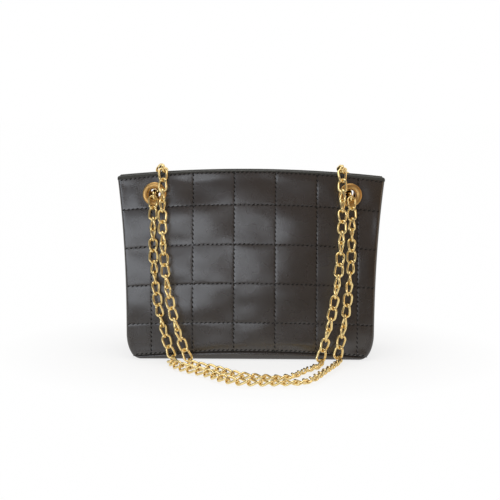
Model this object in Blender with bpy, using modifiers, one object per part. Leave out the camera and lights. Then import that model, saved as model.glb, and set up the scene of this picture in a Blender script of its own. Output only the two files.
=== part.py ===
"""A small quilted shoulder bag on a gold curb chain.

Two quilted panels, folded gussets and a curved base make the body. One chain
runs through four eyelets, so it hangs as two handles down the front.
The origin is the middle of the base on the ground, +Z is up and the front
faces -Y. Lengths are in metres.
"""
import math

import bmesh
import bpy
from mathutils import Matrix, Vector

MM = 0.001
FRONT = -1
REAR = 1
LEFT = -1
RIGHT = 1
SIDE_NAMES = {LEFT: "left", RIGHT: "right"}
FACE_NAMES = {FRONT: "front", REAR: "rear"}

# Body outline
BAG_HEIGHT = 186.8 * MM
TOP_HALF_WIDTH = 134.0 * MM
BASE_NARROWING = 10.0 * MM
BASE_HALF_WIDTH = TOP_HALF_WIDTH - BASE_NARROWING
TOP_HALF_DEPTH = 9.0 * MM
BASE_HALF_DEPTH = 38.0 * MM
CORNER_WIDTH = 13.0 * MM
CORNER_HEIGHT = 26.0 * MM
TOP_BOW = 7.0 * MM
FLARE_POWER = 2.5
LEAN_POWER = 1.2

# Sheets and the room between them
PANEL_THICKNESS = 2.6 * MM
GUSSET_THICKNESS = 1.5 * MM
LINING_THICKNESS = 1.0 * MM
GUSSET_LINING_THICKNESS = 0.8 * MM
BASE_THICKNESS = 1.8 * MM
BOARD_THICKNESS = 1.5 * MM
SEAT_GAP = 0.3 * MM
SHEET_GAP = 0.5 * MM
OVERRUN = 5.0 * MM

# Quilting
QUILT_PITCH_SHARE = 0.305
QUILT_PITCH = TOP_HALF_WIDTH * QUILT_PITCH_SHARE
QUILT_ROW_PITCH_SHARE = 0.2066
QUILT_ROW_PITCH = BAG_HEIGHT * QUILT_ROW_PITCH_SHARE
QUILT_BOTTOM_ROW_SHARE = 0.149
QUILT_BOTTOM_ROW = BAG_HEIGHT * QUILT_BOTTOM_ROW_SHARE
QUILT_OFFSET = 2.7 * MM
QUILT_RISE = 1.3 * MM
QUILT_COLUMN_LINES = 6
QUILT_ROW_LINES = 4
PUFF_SHARES = (0.0, 0.13, 0.87)
CORNER_SHARES = (0.0, 0.13, 0.32, 0.60, 0.87)
BOTTOM_SEAM_HEIGHT = 9.5 * MM
BOTTOM_SEAM_BOW = 7.0 * MM

# Base
BASE_ROUND = 9.0 * MM
SEAM_LAP = 2.0 * MM
BASE_END = 3.0 * MM
BOARD_END_ROOM = 19.0 * MM
BOARD_HALF_LENGTH = BASE_HALF_WIDTH - BOARD_END_ROOM
BOARD_CORNER = 12.0 * MM

# Gussets
GUSSET_FOLD = 22.0 * MM
GUSSET_SEAM_INSET = 1.0 * MM
GUSSET_BOTTOM = 4.0 * MM
GUSSET_TOP_DROP = 1.5 * MM
FOLD_POWER = 1.5
GUSSET_ROW_POWER = 1.3

# Facing and rolled top edge
FACING_HEIGHT = 34.0 * MM
SHEET_SIDE_INSET = 1.5 * MM
BINDING_RADIUS = 2.2 * MM

# Eyelets
EYELET_SIDE_ROOM = 37.0 * MM
EYELET_HALF_SPACING = TOP_HALF_WIDTH - EYELET_SIDE_ROOM
EYELET_OFFSET = 1.2 * MM
EYELET_DROP = 23.9 * MM
EYELET_FLANGE_RADIUS = 11.75 * MM
EYELET_HOLE_RADIUS = 6.3 * MM
EYELET_WALL = 0.5 * MM
EYELET_DOME = 1.6 * MM
DOME_SHOULDER_SHARE = 0.85
DOME_THROAT_SHARES = (0.6, 0.45)
EYELET_PRESS = 0.25 * MM
EYELET_LIP = 1.8 * MM
WASHER_RADIUS = 10.5 * MM
WASHER_THICKNESS = 0.8 * MM
ROUND_STEPS = 16

# Magnetic snap
SNAP_DROP = 18.0 * MM
SNAP_RADIUS = 8.5 * MM
SNAP_THICKNESS = 1.6 * MM
SNAP_BUTTON_RADIUS = 4.0 * MM
SNAP_BUTTON_RISE = 1.2 * MM

# Chain links
LINK_WIRE_RADIUS = 1.1 * MM
LINK_HALF_LENGTH = 6.225 * MM
LINK_HALF_WIDTH = 3.9 * MM
LINK_WELD = 0.35 * MM
BEND_WELD = 0.75 * MM
LINK_PLAY = 0.4 * MM
LINK_DROP = 0.8 * MM
LINK_TURN = math.radians(45.0)
LINK_SIDES = 8
WIRE_SIDES = 4
QUARTER_TURN = math.radians(90.0)
HALF_TURN = math.radians(180.0)

# Where the chain runs
CREST_RISE = 1.7 * MM
CREST_HEIGHT = BAG_HEIGHT + CREST_RISE
CREST_REACH = 15.5 * MM
CREST_INSET = 8.8 * MM
CREST_CLEARANCE = 5.25 * MM
RISE_BULGE = 4.0 * MM
KNEE_HEIGHT = 6.2 * MM
LOOP_HEIGHT = 5.3 * MM
FRONT_KNEE_REACH = 50.0 * MM
REAR_KNEE_REACH = 61.5 * MM
FRONT_HANG_INSET = -0.8 * MM
LEFT_FRONT_KNEE_INSET = 19.6 * MM
RIGHT_FRONT_KNEE_INSET = 12.7 * MM
LEFT_REAR_KNEE_INSET = 36.8 * MM
RIGHT_REAR_KNEE_INSET = 30.7 * MM
FRONT_LOOP_REACH = 80.6 * MM
REAR_LOOP_REACH = 56.0 * MM
STRAND_POWER = {LEFT: 3.0, RIGHT: 2.4}
STRAND_POINTS = 12
LOOP_SHORT_SHARE = 0.5
FRONT_LOOP_SHARES = (
    (0.000, 0.00), (0.004, 0.15), (0.035, 0.30), (0.110, 0.46), (0.215, 0.61),
    (0.300, 0.81), (0.385, 0.95), (0.500, 1.00), (0.640, 1.00), (0.750, 0.98),
    (0.822, 0.86), (0.884, 0.61), (0.950, 0.35), (0.996, 0.16), (1.000, 0.00),
)
REAR_LOOP_SHARES = (
    (0.000, 0.00), (0.010, 0.20), (0.090, 0.34), (0.190, 0.47), (0.280, 0.67),
    (0.400, 0.87), (0.560, 0.98), (0.690, 0.98), (0.790, 0.83), (0.865, 0.56),
    (0.940, 0.35), (0.993, 0.19), (1.000, 0.00),
)
ROUTE_STEP = 0.5 * MM
FIT_ROUNDS = 30


def clear_scene():
    """Start from an empty file."""
    for item in list(bpy.data.objects):
        bpy.data.objects.remove(item, do_unlink=True)


def new_collection(name):
    """A named collection in the scene."""
    group = bpy.data.collections.new(name)
    bpy.context.scene.collection.children.link(group)
    return group


def new_material(name, colour, roughness, metallic=0.0):
    """A plain Principled material."""
    material = bpy.data.materials.new(name)
    material.use_nodes = True
    shader = material.node_tree.nodes["Principled BSDF"]
    shader.inputs["Base Color"].default_value = (*colour, 1.0)
    shader.inputs["Roughness"].default_value = roughness
    shader.inputs["Metallic"].default_value = metallic
    return material


clear_scene()
PARTS = new_collection("quilted_chain_bag")
CUTTERS = new_collection("cutters")
LEATHER = new_material("black_leather", (0.045, 0.043, 0.042), 0.35)
LINING = new_material("lining_cloth", (0.030, 0.030, 0.032), 0.85)
BOARD = new_material("grey_board", (0.220, 0.210, 0.190), 0.90)
EYELET_GOLD = new_material("eyelet_gold", (0.720, 0.420, 0.120), 0.28, 1.0)
CHAIN_GOLD = new_material("chain_gold", (0.860, 0.640, 0.270), 0.20, 1.0)


def add_object(name, mesh, material, collection=PARTS):
    """Put a mesh into the scene under its own name."""
    item = bpy.data.objects.new(name, mesh)
    collection.objects.link(item)
    if material:
        mesh.materials.append(material)
    return item


def smooth_round(mesh):
    """Shade smooth with crisp edges."""
    mesh.shade_smooth()
    mesh.set_sharp_from_angle(angle=math.radians(40.0))


# The body's own surfaces

def half_depth(height):
    """Half the bag's depth at a height: wide at the base, nearly shut on top."""
    share = min(max(height / BAG_HEIGHT, 0.0), 1.0)
    return TOP_HALF_DEPTH + (BASE_HALF_DEPTH - TOP_HALF_DEPTH) * (1.0 - share ** LEAN_POWER)


def beside(side, inset=0.0):
    """How far across the bag an eyelet is, or a place inside it."""
    return EYELET_OFFSET + side * (EYELET_HALF_SPACING - inset)


def lean_at(height):
    """The wall's lean from upright at a height, in radians."""
    step = ROUTE_STEP
    return math.atan((half_depth(height - step) - half_depth(height + step)) / (step + step))


def half_width(height):
    """Half the bag's width at a height, flared on top and round at the base corners."""
    share = min(max(height / BAG_HEIGHT, 0.0), 1.0)
    width = BASE_HALF_WIDTH + (TOP_HALF_WIDTH - BASE_HALF_WIDTH) * share ** FLARE_POWER
    if height < CORNER_HEIGHT:
        tuck = 1.0 - max(height, 0.0) / CORNER_HEIGHT
        width -= CORNER_WIDTH * (1.0 - math.sqrt(1.0 - tuck * tuck))
    return width


def bowed(level, bow, x):
    """The height of a bowed line at a place across the bag."""
    return level - bow * (x / TOP_HALF_WIDTH) ** 2


def bow_at(level):
    """How far a level line droops at the sides."""
    share = level / BAG_HEIGHT
    return TOP_BOW * (1.0 - (1.0 - share) ** 2)


PANEL_TOP = BAG_HEIGHT - BINDING_RADIUS - BINDING_RADIUS - SEAT_GAP
FACING_BOTTOM = PANEL_TOP - FACING_HEIGHT
EYELET_Z = BAG_HEIGHT - EYELET_DROP
EYELET_LEAN = lean_at(EYELET_Z)
SNAP_Z = BAG_HEIGHT - SNAP_DROP
LINING_INSET = PANEL_THICKNESS + SHEET_GAP
GUSSET_INSET = LINING_INSET + LINING_THICKNESS + SHEET_GAP


def quilt_levels():
    """The stitched lines from the bottom seam to the top edge, each with its bow."""
    levels = [(BOTTOM_SEAM_HEIGHT, BOTTOM_SEAM_BOW)]
    for line in range(QUILT_ROW_LINES):
        level = BOTTOM_SEAM_HEIGHT + QUILT_BOTTOM_ROW + line * QUILT_ROW_PITCH
        levels.append((level, bow_at(level)))
    levels.append((PANEL_TOP, TOP_BOW))
    return levels


def quilt_columns():
    """The stitched lines across the bag, without its two sides."""
    middle = (QUILT_COLUMN_LINES - 1) / 2
    return [QUILT_OFFSET + (line - middle) * QUILT_PITCH for line in range(QUILT_COLUMN_LINES)]


def cell_places(count, first_shares=PUFF_SHARES):
    """Each grid line's cell and its share across that cell."""
    places = [(0, share) for share in first_shares]
    for cell in range(1, count):
        places += [(cell, share) for share in PUFF_SHARES]
    places.append((count - 1, 1.0))
    return places


def between(values, place):
    """A place between two neighbouring lines."""
    cell, share = place
    return values[cell] * (1.0 - share) + values[cell + 1] * share


def sheet_mesh(name, columns, rows, place, outward):
    """A grid whose points a function places, with its faces turned outward."""
    build = bmesh.new()
    bmesh.ops.create_grid(build, x_segments=columns, y_segments=rows, size=1.0)
    for vert in build.verts:
        column = round((vert.co.x + 1.0) / 2.0 * columns)
        row = round((vert.co.y + 1.0) / 2.0 * rows)
        vert.co = place(column, row)
    build.normal_update()
    facing = sum((face.normal * face.calc_area() for face in build.faces), Vector())
    if facing.dot(outward) < 0.0:
        bmesh.ops.reverse_faces(build, faces=build.faces)
    mesh = bpy.data.meshes.new(name)
    build.to_mesh(mesh)
    build.free()
    return mesh


def add_sheet(name, columns, rows, place, outward, thickness, material):
    """A sheet of leather or cloth: a placed grid with its thickness inside."""
    item = add_object(name, sheet_mesh(name, columns, rows, place, outward), material)
    solid = item.modifiers.new("thickness", "SOLIDIFY")
    solid.thickness = thickness
    solid.offset = -1.0
    smooth_round(item.data)
    return item


def turned(name, profile, matrix, material, collection=PARTS):
    """A ring or disc from a section that runs down its outer side."""
    mesh = bpy.data.meshes.new(name)
    build = bmesh.new()
    points = [build.verts.new((radius, 0.0, height)) for radius, height in profile]
    for first, second in zip(points, points[1:]):
        build.edges.new((first, second))
    if profile[0][0] > 0.0:
        build.edges.new((points[-1], points[0]))
    build.to_mesh(mesh)
    build.free()
    item = add_object(name, mesh, material, collection)
    item.matrix_world = matrix
    screw = item.modifiers.new("turn", "SCREW")
    screw.axis = "Z"
    screw.steps = ROUND_STEPS
    screw.render_steps = ROUND_STEPS
    screw.use_merge_vertices = True
    screw.merge_threshold = ROUTE_STEP / 100
    screw.use_smooth_shade = True
    return item


def cylinder_cutter(name, radius, low, high, matrix):
    """A round cutter along a local Z axis."""
    build = bmesh.new()
    bmesh.ops.create_cone(
        build, cap_ends=True, segments=ROUND_STEPS,
        radius1=radius, radius2=radius, depth=high - low,
        matrix=Matrix.Translation((0.0, 0.0, (high + low) / 2.0)),
    )
    mesh = bpy.data.meshes.new(name)
    build.to_mesh(mesh)
    build.free()
    item = add_object(name, mesh, None, CUTTERS)
    item.matrix_world = matrix
    item.hide_render = True
    item.display_type = "WIRE"
    return item


def cut(item, cutter):
    """Cut one solid with another."""
    boolean = item.modifiers.new(cutter.name, "BOOLEAN")
    boolean.operation = "DIFFERENCE"
    boolean.object = cutter


def wall_matrix(x, height, face, inset=0.0):
    """A frame on the wall whose local Z points out of the bag."""
    lean = lean_at(height)
    place = Matrix.Translation((x, face * (half_depth(height) - inset), height))
    turn = Matrix.Rotation(-face * (QUARTER_TURN - lean), 4, "X")
    return place @ turn


def add_panel(face):
    """A quilted outer panel, puffed between its stitched lines."""
    levels = quilt_levels()
    columns = quilt_columns()
    column_places = cell_places(len(columns) + 1)
    row_places = cell_places(len(levels) - 1, CORNER_SHARES)
    heights = [level for level, bow in levels]
    bows = [bow for level, bow in levels]

    def place(column, row):
        level = between(heights, row_places[row])
        bow = between(bows, row_places[row])
        height = level
        for settle in range(3):
            edge = half_width(height)
            x = between([-edge] + columns + [edge], column_places[column])
            height = bowed(level, bow, x)
        inside = 0.0 < column_places[column][1] < 1.0 and 0.0 < row_places[row][1] < 1.0
        rise = QUILT_RISE if inside else 0.0
        return Vector((x, face * (half_depth(height) + rise), height))

    name = FACE_NAMES[face] + "_panel"
    return add_sheet(
        name, len(column_places) - 1, len(row_places) - 1, place, Vector((0.0, face, 0.0)),
        PANEL_THICKNESS, LEATHER,
    )


def add_wall_sheet(name, face, bottom, top, rows, material):
    """A thin sheet behind a panel, from one bowed line up to another."""
    columns = 4

    def place(column, row):
        share = row / rows
        across = 2.0 * column / columns - 1.0
        height = bottom[0]
        for settle in range(3):
            x = across * (half_width(height) - SHEET_SIDE_INSET)
            low = bowed(bottom[0], bottom[1], x)
            high = bowed(top[0], top[1], x)
            height = low + (high - low) * share
        return Vector((x, face * (half_depth(height) - LINING_INSET), height))

    return add_sheet(
        name, columns, rows, place, Vector((0.0, face, 0.0)), LINING_THICKNESS, material
    )


def fold_at(height):
    """How far the gusset folds in at a height."""
    share = height / PANEL_TOP
    return GUSSET_FOLD * share ** FOLD_POWER


def gusset_point(side, height, across, inset):
    """A point on the folded gusset; the inset moves it towards the lining."""
    fold = fold_at(height)
    room = half_depth(height) - GUSSET_INSET
    slope = 2.0 * fold / room
    room -= GUSSET_THICKNESS * slope / math.sqrt(1.0 + slope * slope)
    y = across * room
    x = half_width(height) - GUSSET_SEAM_INSET - fold * (1.0 - across * across)
    tilt = 2.0 * fold * across / room
    length = math.sqrt(1.0 + tilt * tilt)
    x -= inset / length
    y += inset * tilt / length
    return Vector((side * x, y, height))


def add_gusset(side):
    """A side gusset folded in between the panels, and its lining."""
    rows = 5
    columns = 8
    top = bowed(PANEL_TOP, TOP_BOW, TOP_HALF_WIDTH) - GUSSET_TOP_DROP

    lining_columns = columns - 2

    def place_row(row):
        return GUSSET_BOTTOM + (top - GUSSET_BOTTOM) * (row / rows) ** GUSSET_ROW_POWER

    def place(column, row):
        return gusset_point(side, place_row(row), 2.0 * column / columns - 1.0, 0.0)

    def place_lining(column, row):
        across = 2.0 * (column + 1) / columns - 1.0
        return gusset_point(side, place_row(row), across, GUSSET_THICKNESS + SHEET_GAP)

    outward = Vector((side, 0.0, 0.0))
    add_sheet(
        SIDE_NAMES[side] + "_gusset", columns, rows, place, outward, GUSSET_THICKNESS, LEATHER
    )
    add_sheet(
        "lining_" + SIDE_NAMES[side], lining_columns, rows, place_lining, outward,
        GUSSET_LINING_THICKNESS, LINING,
    )


def seam_height(x):
    """The bottom seam's height across the bag."""
    return bowed(BOTTOM_SEAM_HEIGHT, BOTTOM_SEAM_BOW, x)


def base_rim():
    """Half the depth of the base panel, whose rim stands inside the panels."""
    return half_depth(BOTTOM_SEAM_HEIGHT + SEAM_LAP) - PANEL_THICKNESS - SHEET_GAP - SEAT_GAP


def add_base():
    """The base panel: flat on the ground, its long edges turned up to the seams."""
    flat_half = BASE_HALF_WIDTH - CORNER_WIDTH
    rim = base_rim()
    columns = 6
    arc_steps = 3
    rows = 2 * arc_steps + 2

    def place(column, row):
        if column == 0 or column == columns:
            x = flat_half + BASE_END
            tuck = BASE_END / CORNER_WIDTH
            lift = CORNER_HEIGHT * (1.0 - math.sqrt(1.0 - tuck * tuck))
        else:
            x = flat_half * abs(2.0 * (column - 1) / (columns - 2) - 1.0)
            lift = 0.0
        side = LEFT if column < columns / 2 else RIGHT
        rise = seam_height(x) + SEAM_LAP - lift
        out = row - (rows / 2)
        if out == 0:
            return Vector((side * x, 0.0, lift))
        turn = QUARTER_TURN * (abs(out) - 1) / arc_steps
        y = rim - BASE_ROUND + BASE_ROUND * math.sin(turn)
        return Vector((side * x, math.copysign(y, out), lift + rise * (1.0 - math.cos(turn))))

    add_sheet("base_panel", columns, rows, place, Vector((0.0, 0.0, -1.0)), BASE_THICKNESS, LEATHER)


def add_board(name, low, thickness, material):
    """A flat stiffener with round corners, lying on the base."""
    half_depth_here = base_rim() - BASE_ROUND
    curve = bpy.data.curves.new(name, "CURVE")
    curve.dimensions = "2D"
    curve.fill_mode = "BOTH"
    curve.extrude = thickness / 2.0
    outline = curve.splines.new("POLY")
    corners = ((1, 1), (-1, 1), (-1, -1), (1, -1))
    steps = 4
    points = []
    for number, (along, across) in enumerate(corners):
        for step in range(steps + 1):
            angle = QUARTER_TURN * (number + step / steps)
            points.append((
                along * (BOARD_HALF_LENGTH - BOARD_CORNER) + BOARD_CORNER * math.cos(angle),
                across * (half_depth_here - BOARD_CORNER) + BOARD_CORNER * math.sin(angle),
            ))
    outline.points.add(len(points) - 1)
    for point, (x, y) in zip(outline.points, points):
        point.co = (x, y, 0.0, 1.0)
    outline.use_cyclic_u = True
    item = bpy.data.objects.new(name, curve)
    item.location.z = low + thickness / 2.0
    curve.materials.append(material)
    PARTS.objects.link(item)


def add_binding(face):
    """The rolled leather edge along a panel's top."""
    name = FACE_NAMES[face] + "_binding"
    curve = bpy.data.curves.new(name, "CURVE")
    curve.dimensions = "3D"
    curve.bevel_depth = BINDING_RADIUS
    curve.bevel_resolution = 2
    curve.use_fill_caps = True
    line = curve.splines.new("POLY")
    steps = 10
    line.points.add(steps)
    end = half_width(PANEL_TOP - TOP_BOW)
    for step, point in enumerate(line.points):
        x = end * (2.0 * step / steps - 1.0)
        height = bowed(PANEL_TOP, TOP_BOW, x) + BINDING_RADIUS + SEAT_GAP
        depth = half_depth(height) - BINDING_RADIUS + SEAT_GAP
        point.co = (x, face * depth, height, 1.0)
    item = bpy.data.objects.new(name, curve)
    curve.materials.append(LEATHER)
    PARTS.objects.link(item)


def eyelet_profile():
    """The eyelet's section: domed flange, barrel and turned lip."""
    inner = EYELET_HOLE_RADIUS
    outer = inner + EYELET_WALL
    back = SEAT_GAP - EYELET_PRESS
    rim = EYELET_FLANGE_RADIUS
    middle = (inner + rim) / 2.0
    washer_back = -(GUSSET_INSET - SHEET_GAP) - SEAT_GAP - WASHER_THICKNESS
    lip_top = washer_back - SEAT_GAP
    lip_low = lip_top - WASHER_THICKNESS
    throat_across, throat_up = DOME_THROAT_SHARES
    return [
        (inner + EYELET_DOME * throat_across, back + EYELET_DOME * DOME_SHOULDER_SHARE),
        (middle, back + EYELET_DOME),
        (rim - EYELET_DOME, back + EYELET_DOME * DOME_SHOULDER_SHARE),
        (rim, back),
        (outer, back),
        (outer, lip_top),
        (outer + EYELET_LIP, lip_top),
        (outer + EYELET_LIP, lip_low),
        (inner + EYELET_WALL, lip_low),
        (inner, lip_top),
        (inner, back + EYELET_DOME * throat_up),
    ]


def washer_profile():
    """The flat washer behind the eyelet."""
    inner = EYELET_HOLE_RADIUS + EYELET_WALL + SEAT_GAP
    high = -(GUSSET_INSET - SHEET_GAP) - SEAT_GAP
    low = high - WASHER_THICKNESS
    return [(WASHER_RADIUS, high), (WASHER_RADIUS, low), (inner, low), (inner, high)]


def add_eyelet(face, side, sheets):
    """An eyelet with its washer, through the panel and its facing."""
    label = FACE_NAMES[face] + "_" + SIDE_NAMES[side]
    matrix = wall_matrix(beside(side), EYELET_Z, face)
    turned("eyelet_" + label, eyelet_profile(), matrix, EYELET_GOLD)
    turned("eyelet_washer_" + label, washer_profile(), matrix, EYELET_GOLD)
    bore = EYELET_HOLE_RADIUS + EYELET_WALL + SEAT_GAP
    hole = cylinder_cutter(
        "hole_" + label, bore, -GUSSET_INSET - OVERRUN, OVERRUN, matrix
    )
    seat = cylinder_cutter(
        "seat_" + label, EYELET_FLANGE_RADIUS + SHEET_GAP, -EYELET_PRESS, OVERRUN, matrix
    )
    panel, facing = sheets
    cut(panel, seat)
    cut(panel, hole)
    cut(facing, hole)


def add_snap(face, name, profile):
    """One half of the magnetic snap on the facing."""
    inset = GUSSET_INSET - SHEET_GAP + SEAT_GAP
    matrix = wall_matrix(0.0, SNAP_Z, face, inset)
    turned(name, profile, matrix @ Matrix.Rotation(HALF_TURN, 4, "X"), EYELET_GOLD)


# The chain

def link_mesh(twist):
    """One twisted curb link along local Z, its start bar at the origin."""
    radius = LINK_HALF_WIDTH / math.cos(HALF_TURN / LINK_SIDES)
    stretch = LINK_HALF_LENGTH - LINK_HALF_WIDTH
    bpy.ops.mesh.primitive_torus_add(
        major_radius=radius, minor_radius=LINK_WIRE_RADIUS,
        major_segments=LINK_SIDES, minor_segments=WIRE_SIDES,
    )
    torus = bpy.context.object
    build = bmesh.new()
    build.from_mesh(torus.data)
    bpy.data.objects.remove(torus, do_unlink=True)
    stand = Matrix.Rotation(QUARTER_TURN, 4, "X")
    spin = Matrix.Rotation(HALF_TURN / LINK_SIDES, 4, "Z")
    build.transform(stand @ spin)
    length = LINK_HALF_LENGTH + LINK_HALF_LENGTH
    for vert in build.verts:
        along = vert.co.z + math.copysign(stretch, vert.co.z) + LINK_HALF_LENGTH
        turn = Matrix.Rotation(twist * min(max(along / length, 0.0), 1.0), 3, "Z")
        flat = turn @ Vector((vert.co.x, vert.co.y, 0.0))
        vert.co = Vector((flat.x, flat.y, along))
    bmesh.ops.recalc_face_normals(build, faces=build.faces)
    mesh = bpy.data.meshes.new("link")
    build.to_mesh(mesh)
    build.free()
    return mesh


def smooth_route(points):
    """A fine line of points through a route's own points."""
    fine = []
    count = len(points)
    for index in range(count - 1):
        first = points[index]
        second = points[index + 1]
        before = points[index - 1] if index else first + first - second
        after = points[index + 2] if index + 2 < count else second + second - first
        steps = max(int((second - first).length / ROUTE_STEP), 2)
        for step in range(steps):
            t = step / steps
            fine.append(0.5 * (
                2.0 * first + (second - before) * t
                + (2.0 * before - 5.0 * first + 4.0 * second - after) * t * t
                + (3.0 * first - before - 3.0 * second + after) * t * t * t
            ))
    fine.append(points[-1])
    return fine


def march(route, spans):
    """Walk a route in straight spans; gives the stops and what is left over."""
    stops = [route[0]]
    index = 1
    for number, span in enumerate(spans):
        here = stops[-1]
        while index < len(route) and (route[index] - here).length < span:
            index += 1
        if index == len(route):
            short = span - (route[-1] - here).length + sum(spans[number + 1:])
            return None, -short
        inside = route[index - 1]
        outside = route[index]
        low, high = 0.0, 1.0
        for settle in range(FIT_ROUNDS):
            middle = (low + high) / 2.0
            if (inside.lerp(outside, middle) - here).length < span:
                low = middle
            else:
                high = middle
        stops.append(inside.lerp(outside, high))
    left = (route[index] - stops[-1]).length
    left += sum((b - a).length for a, b in zip(route[index:], route[index + 1:]))
    return stops, left


LINK_LENGTH = LINK_HALF_LENGTH + LINK_HALF_LENGTH
BAR_SPACE = LINK_WIRE_RADIUS + LINK_WIRE_RADIUS
FUSED_PITCH = LINK_LENGTH - BAR_SPACE + LINK_WELD
BENT_PITCH = LINK_LENGTH - BAR_SPACE + BEND_WELD
LOOSE_PITCH = LINK_LENGTH - BAR_SPACE - LINK_PLAY
HOOK = BAR_SPACE + LINK_PLAY


def link_count(length, pitch=FUSED_PITCH):
    """How many links a run needs to reach over a length."""
    return math.ceil((length - LINK_LENGTH) / pitch) + 1


def route_length(points):
    """The length of a smooth route."""
    route = smooth_route(points)
    return sum((b - a).length for a, b in zip(route, route[1:]))


def fit_run(make_points, counts, pitch=FUSED_PITCH):
    """Slacken a route until the links of its groups end at its last point."""
    spans = []
    for group, count in enumerate(counts):
        spans += [pitch] * (count - 1)
        spans.append(LOOSE_PITCH if group < len(counts) - 1 else LINK_LENGTH)
    low, high = 0.0, 1.0
    while march(smooth_route(make_points(high)), spans)[1] < 0.0:
        high += high
    for settle in range(FIT_ROUNDS):
        middle = (low + high) / 2.0
        if march(smooth_route(make_points(middle)), spans)[1] < 0.0:
            low = middle
        else:
            high = middle
    stops, left = march(smooth_route(make_points(high)), spans)
    return stops


def run_twist(count, end_turn):
    """The twist of each link, so that a run's last bar comes out at a turn."""
    wanted = (count - 1) * QUARTER_TURN - end_turn
    halves = round((wanted - count * LINK_TURN) / HALF_TURN)
    return (halves * HALF_TURN - wanted) / count


def union_all(name, meshes, material):
    """Join touching links into one solid."""
    holders = [add_object("piece", mesh, None, CUTTERS) for mesh in meshes]
    base = holders[0]
    for other in holders[1:]:
        boolean = base.modifiers.new("join", "BOOLEAN")
        boolean.operation = "UNION"
        boolean.object = other
    depsgraph = bpy.context.evaluated_depsgraph_get()
    joined = bpy.data.meshes.new_from_object(base.evaluated_get(depsgraph))
    for holder in holders:
        bpy.data.objects.remove(holder, do_unlink=True)
    joined.name = name
    smooth_round(joined)
    return add_object(name, joined, material)


def add_run(names, counts, stops, start_turn, end_turn, side_of):
    """Links from stop to stop, as one solid for each named group."""
    total = sum(counts)
    twist = run_twist(total, end_turn)
    number = 0
    for name, count in zip(names, counts):
        meshes = []
        for link in range(count):
            start = stops[number]
            along = (stops[number + 1] - start).normalized()
            side = side_of(along)
            side = (side - along * side.dot(along)).normalized()
            other = along.cross(side)
            turn = start_turn + number * (twist + QUARTER_TURN)
            first = side * math.cos(turn) + other * math.sin(turn)
            second = along.cross(first)
            frame = Matrix((first, second, along)).transposed().to_4x4()
            mesh = link_mesh(twist)
            mesh.transform(Matrix.Translation(start) @ frame)
            meshes.append(mesh)
            number += 1
        union_all(name, meshes, CHAIN_GOLD)


def across_bag(along):
    """The side direction of a strand that hangs or runs over the bag."""
    return Vector((1.0, 0.0, 0.0))


def level_side(along):
    """The side direction of a chain that lies on the ground."""
    return Vector((0.0, 0.0, 1.0)).cross(along)


EYELET_MIDDLE_Z = EYELET_Z - math.sin(EYELET_LEAN) * (GUSSET_INSET + WASHER_THICKNESS) / 2.0
EYELET_LINK_Z = EYELET_MIDDLE_Z - LINK_DROP
INNER_LINKS = 4
INNER_END = ((INNER_LINKS - 1) * FUSED_PITCH + LINK_LENGTH) / 2.0
HANG_Y = INNER_END - HOOK
KNEE_INSETS = {
    ("front", LEFT): LEFT_FRONT_KNEE_INSET,
    ("front", RIGHT): RIGHT_FRONT_KNEE_INSET,
    ("rear", LEFT): LEFT_REAR_KNEE_INSET,
    ("rear", RIGHT): RIGHT_REAR_KNEE_INSET,
}


def pivot_of(handle, side):
    """Where a handle's strand hangs."""
    if handle == "front":
        return Vector((beside(side, FRONT_HANG_INSET), -HANG_Y, EYELET_LINK_Z))
    return Vector((beside(side, CREST_INSET), -CREST_REACH, CREST_HEIGHT))


def knee_of(handle, side):
    """Where a handle's strand meets the ground."""
    reach = FRONT_KNEE_REACH if handle == "front" else REAR_KNEE_REACH
    return Vector((beside(side, KNEE_INSETS[handle, side]), -reach, KNEE_HEIGHT))


def add_inner_chain(side):
    """The chain inside the bag, from a front eyelet to the rear one."""
    start = Vector((beside(side), -INNER_END, EYELET_LINK_Z))
    step = Vector((0.0, FUSED_PITCH, 0.0))
    stops = [start + step * number for number in range(INNER_LINKS + 1)]
    add_run(
        ["inner_chain_" + SIDE_NAMES[side]], [INNER_LINKS], stops,
        QUARTER_TURN, 0.0, across_bag,
    )


def add_rise(side):
    """The chain from a rear eyelet up and over both top edges."""
    crest = beside(side, CREST_INSET)
    edge = bowed(BAG_HEIGHT, TOP_BOW, crest) + CREST_CLEARANCE
    start = Vector((beside(side), HANG_Y, EYELET_LINK_Z))
    end = pivot_of("rear", side)
    tip = Vector((0.0, -TOP_HALF_DEPTH, edge)) - Vector((0.0, -CREST_REACH, CREST_HEIGHT))
    end -= tip.normalized() * HOOK

    def points(slack):
        bulge = slack * RISE_BULGE
        middle_z = (start.z + edge) / 2.0
        return [
            start,
            Vector((start.x, start.y + bulge, middle_z)),
            Vector(((start.x + crest) / 2.0, TOP_HALF_DEPTH + bulge, edge)),
            Vector((crest, 0.0, edge)),
            Vector((crest, -TOP_HALF_DEPTH, edge)),
            end,
        ]

    count = link_count(route_length(points(0.0)), BENT_PITCH)
    stops = fit_run(points, [count], BENT_PITCH)
    add_run(
        ["rear_rise_" + SIDE_NAMES[side]], [count], stops, 0.0, QUARTER_TURN, across_bag
    )


def strand_points(pivot, knee, power):
    """The route of a strand that hangs from its pivot to its knee."""
    def points(slack):
        route = []
        for number in range(STRAND_POINTS + 1):
            share = number / STRAND_POINTS
            point = pivot.lerp(knee, share)
            point.x = pivot.x + (knee.x - pivot.x) * share ** power
            point.y -= slack * RISE_BULGE * math.sin(HALF_TURN * share)
            route.append(point)
        return route
    return points


def add_strand(name, pivot, knee, power):
    """One hanging strand of a handle."""
    points = strand_points(pivot, knee, power)
    count = link_count(route_length(points(0.0)))
    stops = fit_run(points, [count])
    add_run([name], [count], stops, 0.0, 0.0, across_bag)


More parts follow.
